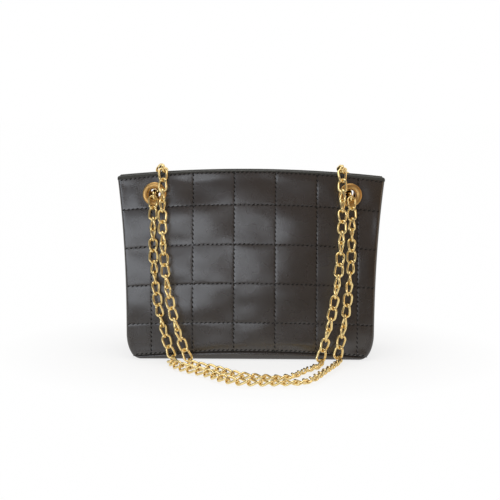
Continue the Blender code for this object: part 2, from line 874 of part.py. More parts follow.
def loop_end(handle, side):
    """Where a loop hooks into a strand: inside the strand's slanting last link."""
    pivot = pivot_of(handle, side)
    knee = knee_of(handle, side)
    slope = (pivot.x - knee.x) * STRAND_POWER[side] / (pivot.z - knee.z)
    shift = slope * LINK_HALF_WIDTH / 2.0
    return Vector((knee.x + shift, knee.y + HOOK, LOOP_HEIGHT))


def add_loop(handle, shares, reach):
    """The part of a handle that lies on the ground in front of the bag."""
    start = loop_end(handle, LEFT)
    end = loop_end(handle, RIGHT)
    span = end.x - start.x

    def points(slack):
        depth = reach * (LOOP_SHORT_SHARE + slack)
        return [
            Vector((start.x + span * across, start.y - depth * out, LOOP_HEIGHT))
            for across, out in shares
        ]

    loose = 2 * (FUSED_PITCH - LOOSE_PITCH)
    length = route_length(points(1.0 - LOOP_SHORT_SHARE)) + loose
    total = round((length - LINK_LENGTH) / FUSED_PITCH) + 1
    third = total // 3
    counts = [third, total - third - third, third]
    stops = fit_run(points, counts)
    names = [handle + "_loop_" + part for part in ("left", "middle", "right")]
    add_run(names, counts, stops, QUARTER_TURN, 0.0, level_side)


def add_chain():
    """The whole chain: inner runs, rises, strands and loops."""
    for side in (LEFT, RIGHT):
        add_inner_chain(side)
        add_rise(side)
        for handle in ("front", "rear"):
            add_strand(
                handle + "_strand_" + SIDE_NAMES[side], pivot_of(handle, side),
                knee_of(handle, side), STRAND_POWER[side],
            )
    add_loop("front", FRONT_LOOP_SHARES, FRONT_LOOP_REACH)
    add_loop("rear", REAR_LOOP_SHARES, REAR_LOOP_REACH)


def add_body():
    """Panels, gussets, base, lining and the fittings on them."""
    lining_bottom = (BOTTOM_SEAM_HEIGHT + SEAM_LAP + SHEET_GAP, BOTTOM_SEAM_BOW)
    facing_bow = bow_at(FACING_BOTTOM)
    for face in (FRONT, REAR):
        panel = add_panel(face)
        facing = add_wall_sheet(
            FACE_NAMES[face] + "_facing", face, (FACING_BOTTOM, facing_bow),
            (PANEL_TOP, TOP_BOW), 2, LEATHER,
        )
        add_wall_sheet(
            "lining_" + FACE_NAMES[face], face, lining_bottom,
            (FACING_BOTTOM - SHEET_GAP, facing_bow), 6, LINING,
        )
        add_binding(face)
        for side in (LEFT, RIGHT):
            add_eyelet(face, side, (panel, facing))
    for side in (LEFT, RIGHT):
        add_gusset(side)
    add_base()
    board_low = BASE_THICKNESS + SEAT_GAP
    lining_low = board_low + BOARD_THICKNESS + SEAT_GAP
    add_board("base_board", board_low, BOARD_THICKNESS, BOARD)
    add_board("lining_base", lining_low, LINING_THICKNESS, LINING)


def add_snaps():
    """The magnetic snap that closes the mouth."""
    disc = SNAP_THICKNESS
    button = SNAP_BUTTON_RADIUS
    add_snap(FRONT, "snap_stud", [
        (0.0, disc + SNAP_BUTTON_RISE), (button, disc + SNAP_BUTTON_RISE), (button, disc),
        (SNAP_RADIUS, disc), (SNAP_RADIUS, 0.0), (0.0, 0.0),
    ])
    well = button + SHEET_GAP
    add_snap(REAR, "snap_socket", [
        (0.0, disc), (well, disc), (well, disc + SNAP_BUTTON_RISE),
        (SNAP_RADIUS, disc + SNAP_BUTTON_RISE), (SNAP_RADIUS, 0.0), (0.0, 0.0),
    ])


add_body()
add_snaps()
add_chain()
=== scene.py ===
# %% [markdown]
# # A quilted shoulder bag on a gold chain
# The real bag is made from satin black artificial leather, sewn in squares of
# about 4 cm over a thin foam. One gold curb chain runs through four eyelets,
# so it hangs as two handles down the front. This script dresses the packed
# model: it never moves a part, it only builds finer pieces in the same places.

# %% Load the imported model
import math

import bmesh
import bpy
import numpy as np
from mathutils import Matrix, Vector


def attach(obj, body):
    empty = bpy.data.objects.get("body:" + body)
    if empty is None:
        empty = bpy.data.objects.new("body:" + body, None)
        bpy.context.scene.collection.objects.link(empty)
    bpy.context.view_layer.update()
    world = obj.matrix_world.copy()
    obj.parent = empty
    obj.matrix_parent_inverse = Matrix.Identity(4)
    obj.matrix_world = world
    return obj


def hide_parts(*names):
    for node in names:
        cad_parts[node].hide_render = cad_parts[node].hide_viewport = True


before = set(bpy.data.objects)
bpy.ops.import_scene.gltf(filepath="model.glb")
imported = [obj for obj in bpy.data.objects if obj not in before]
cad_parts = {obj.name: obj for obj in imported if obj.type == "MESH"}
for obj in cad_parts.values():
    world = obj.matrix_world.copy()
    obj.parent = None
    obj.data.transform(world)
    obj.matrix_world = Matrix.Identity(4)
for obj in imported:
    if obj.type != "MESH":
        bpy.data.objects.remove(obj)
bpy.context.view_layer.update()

# %% [markdown]
# ## The room
# The bag stands on a pale sweep of paper in soft light. The paper is white to
# the camera and in reflections, but a part of it still takes shadow, so the
# bag has a faint contact shadow under it. A plain matt material would turn
# grey at this light level, and more light would bleach the gold.

# %% Sizes in metres, and helpers for node trees
MM = 0.001
LEFT = -1
RIGHT = 1
FRONT = -1
REAR = 1
SIDE_NAMES = {LEFT: "left", RIGHT: "right"}
FACE_NAMES = {FRONT: "front", REAR: "rear"}
WHITE = (1.0, 1.0, 1.0)
SHARE = (0.0, 1.0)


def feed(tree, node, inputs):
    """Link or set a node's inputs, by name or number; gives the node's outputs."""
    for key, value in inputs.items():
        socket = node.inputs[key]
        if isinstance(value, bpy.types.NodeSocket):
            tree.links.new(value, socket)
        elif value is not None:
            socket.default_value = (*value, 1.0) if socket.type == "RGBA" else value
    return node.outputs


def add_node(tree, kind, *values, **named):
    """Add a node; a capital name is one of its inputs, a small one a property."""
    node = tree.nodes.new(kind)
    inputs = dict(enumerate(values))
    for name, value in named.items():
        if name[0].isupper():
            inputs[name] = value
        else:
            setattr(node, name, value)
    return feed(tree, node, inputs)


def compute(tree, operation, first, *others):
    """Arithmetic on one value, or on several from left to right."""
    for other in others or (None,):
        first = add_node(tree, "ShaderNodeMath", first, other, operation=operation)[0]
    return first


def map_range(tree, value, source=SHARE, target=SHARE):
    """A value taken from one range to another."""
    return add_node(tree, "ShaderNodeMapRange", value, *source, *target)["Result"]


def blend(tree, value, first, second):
    """A colour between two colours or sockets."""
    other_types = [None] * 5
    colours = (*other_types, first, second)
    return add_node(tree, "ShaderNodeMix", value, *colours, data_type="RGBA")[2]


def new_material(name, inputs_of, *values):
    """A material whose Principled shader is fed by a function of its tree."""
    material = bpy.data.materials.new(name)
    material.use_nodes = True
    tree = material.node_tree
    feed(tree, tree.nodes["Principled BSDF"], inputs_of(tree, *values))
    return material


def is_seen(tree):
    """One for a camera, mirror or glass ray, zero for a ray that lights things."""
    path = add_node(tree, "ShaderNodeLightPath")
    kinds = ("Is Camera Ray", "Is Glossy Ray", "Is Transmission Ray")
    return compute(tree, "MAXIMUM", *(path[kind] for kind in kinds))


def add_object(name, data):
    """An object in the scene for a mesh, a lamp or a camera."""
    added = bpy.data.objects.new(name, data)
    bpy.context.scene.collection.objects.link(added)
    return added


# %% The paper floor
PAPER_FRONT = -0.55
PAPER_SIZE = 6.0
PAPER_COLOUR = (0.88, 0.87, 0.86)
GLOW_SPREAD = (6.0, 9.0, 0.0)
GLOW_REACH = (0.6, 1.6)
GLOW_SHARES = (0.72, 0.995)


def paper_inputs(tree):
    """Matt paper, mixed with a glow so that it shows a shadow only near the bag."""
    paper = tree.nodes["Principled BSDF"].outputs[0]
    glow = add_node(tree, "ShaderNodeEmission", WHITE, 1.0)[0]
    place = add_node(tree, "ShaderNodeTexCoord")["Object"]
    away = add_node(tree, "ShaderNodeVectorMath", place, GLOW_SPREAD, operation="MULTIPLY")[0]
    reach = add_node(tree, "ShaderNodeVectorMath", away, operation="LENGTH")["Value"]
    glow_share = map_range(tree, reach, GLOW_REACH, GLOW_SHARES)
    share = compute(tree, "MULTIPLY", is_seen(tree), glow_share)
    mix = add_node(tree, "ShaderNodeMixShader", share, paper, glow)[0]
    feed(tree, tree.nodes["Material Output"], {"Surface": mix})
    return {"Base Color": PAPER_COLOUR, "Roughness": 0.9, "Specular IOR Level": 0.1}


def add_paper():
    """A wide flat floor that belongs to the room."""
    mesh = bpy.data.meshes.new("paper")
    corners = [
        (-PAPER_SIZE, PAPER_FRONT, 0.0), (PAPER_SIZE, PAPER_FRONT, 0.0),
        (PAPER_SIZE, PAPER_SIZE, 0.0), (-PAPER_SIZE, PAPER_SIZE, 0.0),
    ]
    mesh.from_pydata(corners, [], [(0, 1, 2, 3)])
    mesh.materials.append(new_material("white_paper", paper_inputs))
    add_object("paper", mesh)


add_paper()
print("paper starts", -PAPER_FRONT, "m in front and runs", PAPER_SIZE, "m back")

# %% The world's light
WORLD_LIGHT = (0.50, 0.50, 0.50)
ROOM_LEFT = (0.245, 0.285, 0.37)
ROOM_RIGHT = (0.28, 0.175, 0.095)
ROOM_LOW = (0.095, 0.063, 0.038)
LEFT_TO_RIGHT = (-0.35, 0.35)
FRONT_TO_BACK = (-0.45, 0.55)
LOW_TO_HIGH = (-0.08, 0.22)


def set_world():
    """White behind the bag, a dimmer room in front of it, soft light from all round."""
    world = bpy.data.worlds.new("studio")
    bpy.context.scene.world = world
    world.use_nodes = True
    tree = world.node_tree
    path = add_node(tree, "ShaderNodeLightPath")
    place = add_node(tree, "ShaderNodeTexCoord")["Generated"]
    toward = add_node(tree, "ShaderNodeSeparateXYZ", place)
    side = map_range(tree, toward[0], LEFT_TO_RIGHT)
    behind = map_range(tree, toward[1], FRONT_TO_BACK)
    height = map_range(tree, toward[2], LOW_TO_HIGH)
    front = blend(tree, height, ROOM_LOW, blend(tree, side, ROOM_LEFT, ROOM_RIGHT))
    room = blend(tree, behind, front, WHITE)
    lit = blend(tree, path["Is Glossy Ray"], WORLD_LIGHT, room)
    clear = compute(tree, "MAXIMUM", path["Is Camera Ray"], path["Is Transmission Ray"])
    feed(tree, tree.nodes["Background"], {"Color": blend(tree, clear, lit, WHITE)})


set_world()
bpy.context.scene.view_settings.view_transform = "Standard"
print("world light:", WORLD_LIGHT[0])

# %% Soft lamps
LAMP_AIM = Vector((0.0, 0.0, 0.09))
LAMPS = (
    ("lamp_over", (-0.10, -0.20, 1.30), (0.9, 0.9), 6.0, WHITE),
    ("lamp_front_left", (-0.66, -1.32, 0.33), (1.40, 0.34), 4.9, (0.86, 0.92, 1.0)),
    ("lamp_right", (1.20, -0.70, 0.45), (0.5, 0.9), 2.6, (1.0, 0.80, 0.60)),
)


def add_lamp(name, place, size, watts, colour):
    """A soft lamp that looks at the middle of the bag."""
    data = bpy.data.lights.new(name, "AREA")
    data.shape = "RECTANGLE"
    data.size, data.size_y = size
    data.energy = watts
    data.color = colour
    lamp = add_object(name, data)
    lamp.location = place
    lamp.rotation_euler = (LAMP_AIM - lamp.location).to_track_quat("-Z", "Y").to_euler()


for lamp_values in LAMPS:
    add_lamp(*lamp_values)
print("lamps:", len(LAMPS))

# %% The camera
CAMERA_ELEVATION = math.radians(9.9)
CAMERA_DISTANCE = 1.001
CAMERA_PIVOT = Vector((0.0, -0.020, 0.100))
CAMERA_AIM = Vector((-0.0008, -0.020, 0.1083))
CAMERA_LENS = 72.4
CAMERA_ROLL = math.radians(0.35)


def add_camera():
    """A long lens, nearly level with the bag, as in the photograph."""
    data = bpy.data.cameras.new("camera")
    data.lens = CAMERA_LENS
    camera = add_object("camera", data)
    back = Vector((0.0, -math.cos(CAMERA_ELEVATION), math.sin(CAMERA_ELEVATION)))
    camera.location = CAMERA_PIVOT + back * CAMERA_DISTANCE
    aim = (CAMERA_AIM - camera.location).to_track_quat("-Z", "Y")
    camera.rotation_mode = "QUATERNION"
    camera.rotation_quaternion = aim @ Matrix.Rotation(CAMERA_ROLL, 4, "Z").to_quaternion()
    bpy.context.scene.camera = camera


add_camera()
print("camera stands", CAMERA_DISTANCE, "m away")

# %% [markdown]
# ## Finishes
# Each finish is a small node tree on Object coordinates, so its grain stays in
# millimetres on every piece. The leather is a dark base under a satin coat,
# with pebble grain from a Voronoi texture and slow swells from a Noise
# texture, which break up its reflections as the real foil does.

# %% Grain helpers


def object_texture(tree, kind, per_metre, **named):
    """A texture on Object coordinates, with so many features in a metre."""
    place = add_node(tree, "ShaderNodeTexCoord")["Object"]
    return add_node(tree, "ShaderNodeTex" + kind, place, Scale=per_metre, **named)


def object_noise(tree, per_metre, detail=2.0):
    """Noise with so many swells in a metre."""
    return object_texture(tree, "Noise", per_metre, Detail=detail)["Fac"]


def add_bump(tree, height, distance, strength, below=None):
    """Grain of a depth and strength, laid over another bump where one is given."""
    return add_node(
        tree, "ShaderNodeBump", Height=height, Distance=distance, Strength=strength, Normal=below
    )["Normal"]


# %% Leather
LEATHER_PATCHES = 22.0
LEATHER_RUBS = 60.0
LEATHER_SWELLS = 70.0
LEATHER_PEBBLES = 1100.0
LEATHER_DRIFT = 0.06
SWELL_BUMP = (0.35 * MM, 0.35)
PEBBLE_BUMP = (0.05 * MM, 0.3)


def leather(tree, dark, light, roughness, coat):
    """Artificial leather with a fine pebble grain."""
    rough = (roughness - LEATHER_DRIFT, roughness + LEATHER_DRIFT)
    swell = add_bump(tree, object_noise(tree, LEATHER_SWELLS, 3.0), *SWELL_BUMP)
    pebbles = object_texture(tree, "Voronoi", LEATHER_PEBBLES)["Distance"]
    return {
        "Base Color": blend(tree, object_noise(tree, LEATHER_PATCHES), dark, light),
        "Roughness": map_range(tree, object_noise(tree, LEATHER_RUBS), target=rough),
        "Specular IOR Level": 0.6,
        "Coat Weight": coat,
        "Coat Roughness": 0.16,
        "Normal": add_bump(tree, pebbles, *PEBBLE_BUMP, swell),
    }


SATIN = new_material(
    "satin_leather", leather, (0.020, 0.0152, 0.0112), (0.030, 0.0228, 0.0174), 0.27, 0.5
)
MATT = new_material(
    "edge_leather", leather, (0.020, 0.020, 0.015), (0.030, 0.030, 0.022), 0.6, 0.0
)
print("leathers:", SATIN.name, "and", MATT.name)

# %% Thread, cloth and board
THREADS_PER_METRE = 320.0
WEAVE_BUMP = (0.1 * MM, 0.6)
THREAD_FLECKS = (900.0, 2.0)
BOARD_FLECKS = (500.0, 4.0)


def mottled(tree, flecks, dark, light, inputs):
    """A plain finish whose colour drifts between two, in flecks of a size and detail."""
    return {"Base Color": blend(tree, object_noise(tree, *flecks), dark, light), **inputs}


def woven_lining(tree):
    """Black woven cloth: fine warp and weft from two wave textures."""
    weave = compute(tree, "MULTIPLY", *(
        object_texture(
            tree, "Wave", THREADS_PER_METRE, Distortion=0.4, bands_direction=direction
        )["Fac"]
        for direction in ("X", "Z")
    ))
    return {
        "Base Color": blend(tree, weave, (0.018, 0.018, 0.019), (0.045, 0.045, 0.048)),
        "Roughness": 0.85,
        "Sheen Weight": 0.2,
        "Normal": add_bump(tree, weave, *WEAVE_BUMP),
    }


THREAD = new_material(
    "black_thread", mottled, THREAD_FLECKS, (0.006, 0.006, 0.005), (0.014, 0.013, 0.012),
    {"Roughness": 0.5, "Specular IOR Level": 0.12},
)
CLOTH = new_material("woven_lining", woven_lining)
BOARD = new_material(
    "fibre_board", mottled, BOARD_FLECKS, (0.17, 0.16, 0.14), (0.27, 0.26, 0.23),
    {"Roughness": 0.9},
)
print("threads in a metre of lining:", THREADS_PER_METRE)

# %% [markdown]
# The chain is pale polished gold plate and the eyelets are deeper and duller.
# Both are one metal shader with two tints, rubbed unevenly. A flat gold colour
# would look like plastic, because metal is seen by what it mirrors.

# %% Gold
GOLD_TINTS = 180.0
GOLD_MARKS = 450.0
GOLD_RUBS = 700.0
GOLD_BRIGHTER = 0.04
GOLD_DULLER = 0.06
MARK_BUMP = (0.04 * MM, 0.25)


def gold(tree, colour, deeper, roughness):
    """Plated gold with faint polishing marks."""
    rough = (roughness - GOLD_BRIGHTER, roughness + GOLD_DULLER)
    return {
        "Base Color": blend(tree, object_noise(tree, GOLD_TINTS), colour, deeper),
        "Roughness": map_range(tree, object_noise(tree, GOLD_RUBS, 3.0), target=rough),
        "Metallic": 1.0,
        "Normal": add_bump(tree, object_noise(tree, GOLD_MARKS), *MARK_BUMP),
    }


CHAIN_GOLD = new_material("chain_gold_plate", gold, (0.88, 0.71, 0.35), (0.76, 0.55, 0.22), 0.13)
EYELET_GOLD = new_material("eyelet_gold_plate", gold, (0.64, 0.39, 0.14), (0.54, 0.31, 0.10), 0.34)
print("finishes:", len(bpy.data.materials))

# %% [markdown]
# ## The bag's own surfaces
# The bag is wide at the base and nearly shut on top. A few short functions
# give its half depth, half width and the droop of each level line, and every
# panel, seam and stitch is placed with them. They repeat the model's own
# rules to within about a millimetre, so each piece lands on its place.

# %% The rules of the shape
BAG_HEIGHT = 186.8 * MM
TOP_HALF_WIDTH = 134.0 * MM
BASE_HALF_WIDTH = TOP_HALF_WIDTH - 11.0 * MM
TOP_HALF_DEPTH = 9.0 * MM
BASE_HALF_DEPTH = 38.0 * MM
CORNER_WIDTH = 14.0 * MM
CORNER_HEIGHT = 26.0 * MM
TOP_BOW = 7.0 * MM
FLARE_POWER = 2.5
LEAN_POWER = 1.2
SETTLE_ROUNDS = 4


def half_depth(height):
    """Half the bag's depth at a height."""
    share = np.clip(height / BAG_HEIGHT, 0.0, 1.0)
    return TOP_HALF_DEPTH + (BASE_HALF_DEPTH - TOP_HALF_DEPTH) * (1.0 - share ** LEAN_POWER)


def half_width(height):
    """Half the bag's width at a height, with round base corners."""
    share = np.clip(height / BAG_HEIGHT, 0.0, 1.0)
    width = BASE_HALF_WIDTH + (TOP_HALF_WIDTH - BASE_HALF_WIDTH) * share ** FLARE_POWER
    tuck = np.clip(1.0 - height / CORNER_HEIGHT, 0.0, 1.0)
    return width - CORNER_WIDTH * (1.0 - np.sqrt(1.0 - tuck * tuck))


def bowed(level, bow, x):
    """The height of a drooping level line at a place across the bag."""
    return level - bow * (x / TOP_HALF_WIDTH) ** 2


def bow_at(level):
    """How far a level line droops at the sides."""
    return TOP_BOW * (1.0 - (1.0 - level / BAG_HEIGHT) ** 2)


def lean_at(height):
    """The wall's lean from upright, in radians."""
    step = 0.5 * MM
    return math.atan((half_depth(height - step) - half_depth(height + step)) / (step + step))


print("wall leans", round(math.degrees(lean_at(BAG_HEIGHT / 2.0)), 1), "degrees at half height")

# %% Sheets, seats and quilt lines
PANEL_THICKNESS = 2.6 * MM
LINING_THICKNESS = 1.0 * MM
SHEET_GAP = 0.5 * MM
SEAT_GAP = 0.3 * MM
BINDING_RADIUS = 2.2 * MM
FACING_HEIGHT = 34.0 * MM
PANEL_TOP = BAG_HEIGHT - BINDING_RADIUS - BINDING_RADIUS - SEAT_GAP
FACING_BOTTOM = PANEL_TOP - FACING_HEIGHT
LINING_INSET = PANEL_THICKNESS + SHEET_GAP
GUSSET_INSET = LINING_INSET + LINING_THICKNESS + SHEET_GAP
QUILT_PITCH = TOP_HALF_WIDTH * 0.305
QUILT_ROW_PITCH = BAG_HEIGHT * 0.2066
QUILT_BOTTOM_ROW = BAG_HEIGHT * 0.149
QUILT_OFFSET = 3.9 * MM
QUILT_TOP = BAG_HEIGHT - 0.9 * MM
LINES_DOWN = 6
LINES_ACROSS = 4
BOTTOM_SEAM_HEIGHT = 9.5 * MM
BOTTOM_SEAM_BOW = 7.0 * MM
HEM_LEVEL = BAG_HEIGHT - 1.6 * MM
HEM_BOW = TOP_BOW + 2.4 * MM
COLUMN_LINES = [
    QUILT_OFFSET + (line - (LINES_DOWN - 1) / 2.0) * QUILT_PITCH for line in range(LINES_DOWN)
]
ROW_LEVELS = [BOTTOM_SEAM_HEIGHT]
ROW_LEVELS += [
    BOTTOM_SEAM_HEIGHT + QUILT_BOTTOM_ROW + line * QUILT_ROW_PITCH for line in range(LINES_ACROSS)
]
ROW_LEVELS += [QUILT_TOP]
ROW_BOWS = [BOTTOM_SEAM_BOW] + [bow_at(level) for level in ROW_LEVELS[1:-1]] + [TOP_BOW]
print("quilt lines:", LINES_DOWN, "down and", LINES_ACROSS, "across")

# %% [markdown]
# ## Quilted panels
# A quilted panel is foam between two sheets: high in the middle of each square
# and pulled down to a narrow groove at every stitched line, with small puckers
# where the thread draws the leather in. The grid below is finer near the
# lines. Each point carries its distance to the nearest seam, and a Geometry
# Nodes tree turns that distance into the puff. A texture bump alone would
# leave the outline and the reflections flat.

# %% Helpers that make meshes
EYELET_HALF_SPACING = TOP_HALF_WIDTH - 37.0 * MM
EYELET_OFFSET = 1.2 * MM
EYELET_Z = BAG_HEIGHT - 23.9 * MM
EYELET_CLEARANCE = 8.4 * MM
EYELET_EDGE = 12.0 * MM
WELD = 0.005 * MM
VECTOR = "FLOAT_VECTOR"


def beside(side, inset=0.0):
    """How far across the bag an eyelet is, or a place inside it."""
    return EYELET_OFFSET + side * (EYELET_HALF_SPACING - inset)


def surface_mesh(name, points, closed=(), caps=()):
    """Quads over a grid of points; an axis that is closed runs on to its start."""
    index = np.arange(points[..., 0].size).reshape(points.shape[:2])
    for axis in closed:
        index = np.append(index, index.take([0], axis), axis)
    quads = np.stack((index[:-1, :-1], index[:-1, 1:], index[1:, 1:], index[1:, :-1]), axis=-1)
    faces = quads.reshape(-1, 4).tolist() + [list(cap) for cap in caps]
    mesh = bpy.data.meshes.new(name)
    mesh.from_pydata(points.reshape(-1, 3), [], faces)
    return mesh


def grid_mesh(name, points, outward):
    """A sheet from rows of points, with its faces turned outward."""
    mesh = surface_mesh(name, points)
    normal = sum((face.normal * face.area for face in mesh.polygons), Vector())
    if normal.dot(Vector(outward)) < 0.0:
        mesh.flip_normals()
    return mesh


def turn_outward(mesh):
    """Point the faces of a closed mesh outward."""
    build = bmesh.new()
    build.from_mesh(mesh)
    bmesh.ops.remove_doubles(build, verts=build.verts, dist=WELD)
    bmesh.ops.recalc_face_normals(build, faces=build.faces)
    build.to_mesh(mesh)
    build.free()


def open_eyelets(mesh, distance):
    """Take out the faces that lie in an eyelet's hole."""
    build = bmesh.new()
    build.from_mesh(mesh)
    flat = distance.ravel()
    gone = [vert for vert in build.verts if flat[vert.index] < EYELET_CLEARANCE]
    bmesh.ops.delete(build, geom=gone, context="VERTS")
    build.to_mesh(mesh)
    build.free()


def store(mesh, kind="FLOAT", **fields):
    """Keep numbers or vectors for each point of a mesh, by name."""
    part = "vector" if kind == VECTOR else "value"
    for name, values in fields.items():
        data = mesh.attributes.new(name, kind, "POINT").data
        data.foreach_set(part, np.ascontiguousarray(values, np.float32).ravel())


# %% Helpers that run node trees on pieces
SMOOTH_ANGLE = math.radians(50.0)


def start_tree(name, inputs):
    """A Geometry Nodes tree with named inputs; gives the tree and its sources."""
    tree = bpy.data.node_groups.new(name, "GeometryNodeTree")
    for label, value in {"Geometry": None, **inputs, "Material": None}.items():
        kind = label if value is None else "Vector" if isinstance(value, tuple) else "Float"
        socket = tree.interface.new_socket(label, in_out="INPUT", socket_type="NodeSocket" + kind)
        if value is not None:
            socket.default_value = value
    tree.interface.new_socket("Geometry", in_out="OUTPUT", socket_type="NodeSocketGeometry")
    return tree, tree.nodes.new("NodeGroupInput").outputs


def end_tree(tree, geometry, material):
    """Realize what was instanced, set the material, give it out; gives the tree."""
    real = add_node(tree, "GeometryNodeRealizeInstances", geometry)[0]
    painted = add_node(tree, "GeometryNodeSetMaterial", real, None, material)[0]
    add_node(tree, "NodeGroupOutput", painted)
    return tree


def read(tree, name, kind="FLOAT"):
    """An attribute of the geometry by its name."""
    return add_node(tree, "GeometryNodeInputNamedAttribute", name, data_type=kind)[0]


def move_along(tree, geometry, direction, distance):
    """Move each point along a direction."""
    offset = add_node(tree, "ShaderNodeVectorMath", direction, Scale=distance, operation="SCALE")[0]
    return add_node(tree, "GeometryNodeSetPosition", geometry, None, None, offset)[0]


def lay(tree, points, shape, axes, angle, size=None):
    """Lay a shape on points: its Z and X along two axes, then turned about Z."""
    aim = add_node(
        tree, "FunctionNodeAxesToRotation", *axes, primary_axis="Z", secondary_axis="X"
    )[0]
    roll = add_node(tree, "FunctionNodeAxisAngleToRotation", (0.0, 0.0, 1.0), angle)[0]
    turned = add_node(tree, "FunctionNodeRotateRotation", aim, roll, rotation_space="LOCAL")[0]
    return add_node(
        tree, "GeometryNodeInstanceOnPoints", points, Instance=shape, Rotation=turned, Scale=size
    )[0]


def grow(name, mesh, tree, values, thickness=0.0):
    """Run a tree on a mesh, thicken it inward, and keep one plain mesh."""
    piece = add_object(name, mesh)
    modifier = piece.modifiers.new(tree.name, "NODES")
    modifier.node_group = tree
    for item in tree.interface.items_tree:
        if item.in_out == "INPUT" and item.name in values:
            modifier[item.identifier] = values[item.name]
    if thickness:
        solid = piece.modifiers.new("thickness", "SOLIDIFY")
        solid.thickness = thickness
        solid.offset = -1.0
    depsgraph = bpy.context.evaluated_depsgraph_get()
    plain = bpy.data.meshes.new_from_object(
        piece.evaluated_get(depsgraph), preserve_all_data_layers=True, depsgraph=depsgraph
    )
    piece.modifiers.clear()
    piece.data = plain
    return piece


def finish(piece, body, node):
    """Smooth a piece, put it on its body and let it stand for a model node."""
    piece.data.shade_smooth()
    piece.data.set_sharp_from_angle(angle=SMOOTH_ANGLE)
    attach(piece, body)
    if node:
        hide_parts(node)


# %% The tree that puffs and wrinkles leather
PANEL_SEED = 13.0
SWELLS = {"Swell": 3.0 * MM, "Swell Size": 34.0 * MM, "Stretch": (0.5, 1.0, 1.0), "Seed": 0.0}


def slow_noise(tree, given, size):
    """Noise about zero on the stretched position, with swells of a size."""
    place = add_node(tree, "GeometryNodeInputPosition")[0]
    place = add_node(tree, "ShaderNodeVectorMath", place, given["Stretch"], operation="MULTIPLY")[0]
    noise = add_node(
        tree, "ShaderNodeTexNoise", place, given["Seed"], noise_dimensions="4D",
        Scale=compute(tree, "DIVIDE", 1.0, given[size]), Detail=0.4,
    )[0]
    return compute(tree, "SUBTRACT", noise, 0.5)


def swell_height(tree, given):
    """The slow swell, where the leather is free to swell."""
    noise = slow_noise(tree, given, "Swell Size")
    return compute(tree, "MULTIPLY", noise, given["Swell"], read(tree, "free"))


def pillow_tree():
    """Raise leather between its seams, with puckers at them and slow swells."""
    tree, given = start_tree("leather_pillows", {
        "Puff": 0.11 * MM, "Softness": 0.7 * MM, "Dome": 0.3 * MM,
        "Pucker": 0.22 * MM, "Pucker Size": 9.0 * MM, **SWELLS,
    })
    rise = []
    for seam in ("seam_across", "seam_up"):
        nearness = compute(tree, "DIVIDE", read(tree, seam), given["Softness"])
        fall = compute(tree, "EXPONENT", compute(tree, "MULTIPLY", nearness, -1.0))
        rise.append(compute(tree, "SUBTRACT", 1.0, fall))
    pillow = compute(tree, "MULTIPLY", *rise)
    bulge = compute(tree, "MULTIPLY", pillow, given["Puff"])
    dome = compute(tree, "MULTIPLY", read(tree, "dome"), given["Dome"])
    pucker = slow_noise(tree, given, "Pucker Size")
    pucker = compute(tree, "MULTIPLY", pucker, given["Pucker"], pillow)
    close = compute(tree, "ADD", bulge, dome, pucker)
    close = compute(tree, "MULTIPLY", close, read(tree, "loose"))
    total = compute(tree, "ADD", close, swell_height(tree, given))
    normal = add_node(tree, "GeometryNodeInputNormal")[0]
    moved = move_along(tree, given["Geometry"], normal, total)
    return end_tree(tree, moved, given["Material"])


PILLOWS = pillow_tree()
print("pillow tree nodes:", len(PILLOWS.nodes))

# %% The panels
CELL_STEPS = 24
CELL_CROWDING = 0.11
SIDE_ROUND = 3.0 * MM
SIDE_ROUND_SHARE = 0.95
DOME_SCALE = 16.0
PANEL_RIM_FADE = 9.0 * MM
EYELET_FADE = 8.0 * MM


def cell_shares(count):
    """Cells and shares across them, closer together near each cell's edges."""
    even = np.arange(CELL_STEPS) / CELL_STEPS
    shares = even - CELL_CROWDING * np.sin(2.0 * math.pi * even)
    cells = np.repeat(np.arange(count), CELL_STEPS)
    return np.append(cells, count - 1), np.append(np.tile(shares, count), 1.0)


def panel_grid(face):
    """Points of a panel, their distances to the nearest seams and their domes."""
    columns, across = cell_shares(len(COLUMN_LINES) + 1)
    rows, up = cell_shares(len(ROW_LEVELS) - 1)
    levels, bows = np.array(ROW_LEVELS), np.array(ROW_BOWS)
    level = (levels[rows] * (1.0 - up) + levels[rows + 1] * up)[:, None]
    bow = (bows[rows] * (1.0 - up) + bows[rows + 1] * up)[:, None]
    height = level + np.zeros((1, len(columns)))
    for settle in range(SETTLE_ROUNDS):
        edge = half_width(height)
        low = np.where(columns > 0, np.take([0.0] + COLUMN_LINES, columns), -edge)
        high = np.where(
            columns < len(COLUMN_LINES), np.take(COLUMN_LINES + [0.0], columns), edge
        )
        x = low * (1.0 - across) + high * across
        height = bowed(level, bow, x)
    tuck = np.clip(1.0 - (edge - np.abs(x)) / SIDE_ROUND, 0.0, 1.0)
    inset = SIDE_ROUND * (1.0 - np.sqrt(1.0 - SIDE_ROUND_SHARE * tuck * tuck))
    points = np.stack((x, face * (half_depth(height) - inset), height), axis=-1)
    cell_height = (levels[rows + 1] - levels[rows])[:, None]
    seam_up = np.minimum(up, 1.0 - up)[:, None] * cell_height + np.zeros_like(x)
    dome = DOME_SCALE * (across * (1.0 - across)) * (up * (1.0 - up))[:, None]
    dome = dome * np.minimum((high - low) / QUILT_PITCH, 1.0)
    return points, np.minimum(x - low, high - x), seam_up, dome


def eyelet_distance(points):
    """How far each point lies from the nearest eyelet's middle."""
    x, z = np.abs(points[..., 0] - EYELET_OFFSET), points[..., 2]
    return np.hypot(x - EYELET_HALF_SPACING, (z - EYELET_Z) / math.cos(lean_at(EYELET_Z)))


def fade(distance, start, length):
    """From nought to one over a length, past a starting distance."""
    share = np.clip((distance - start) / length, 0.0, 1.0)
    return share * share * (3.0 - 2.0 * share)


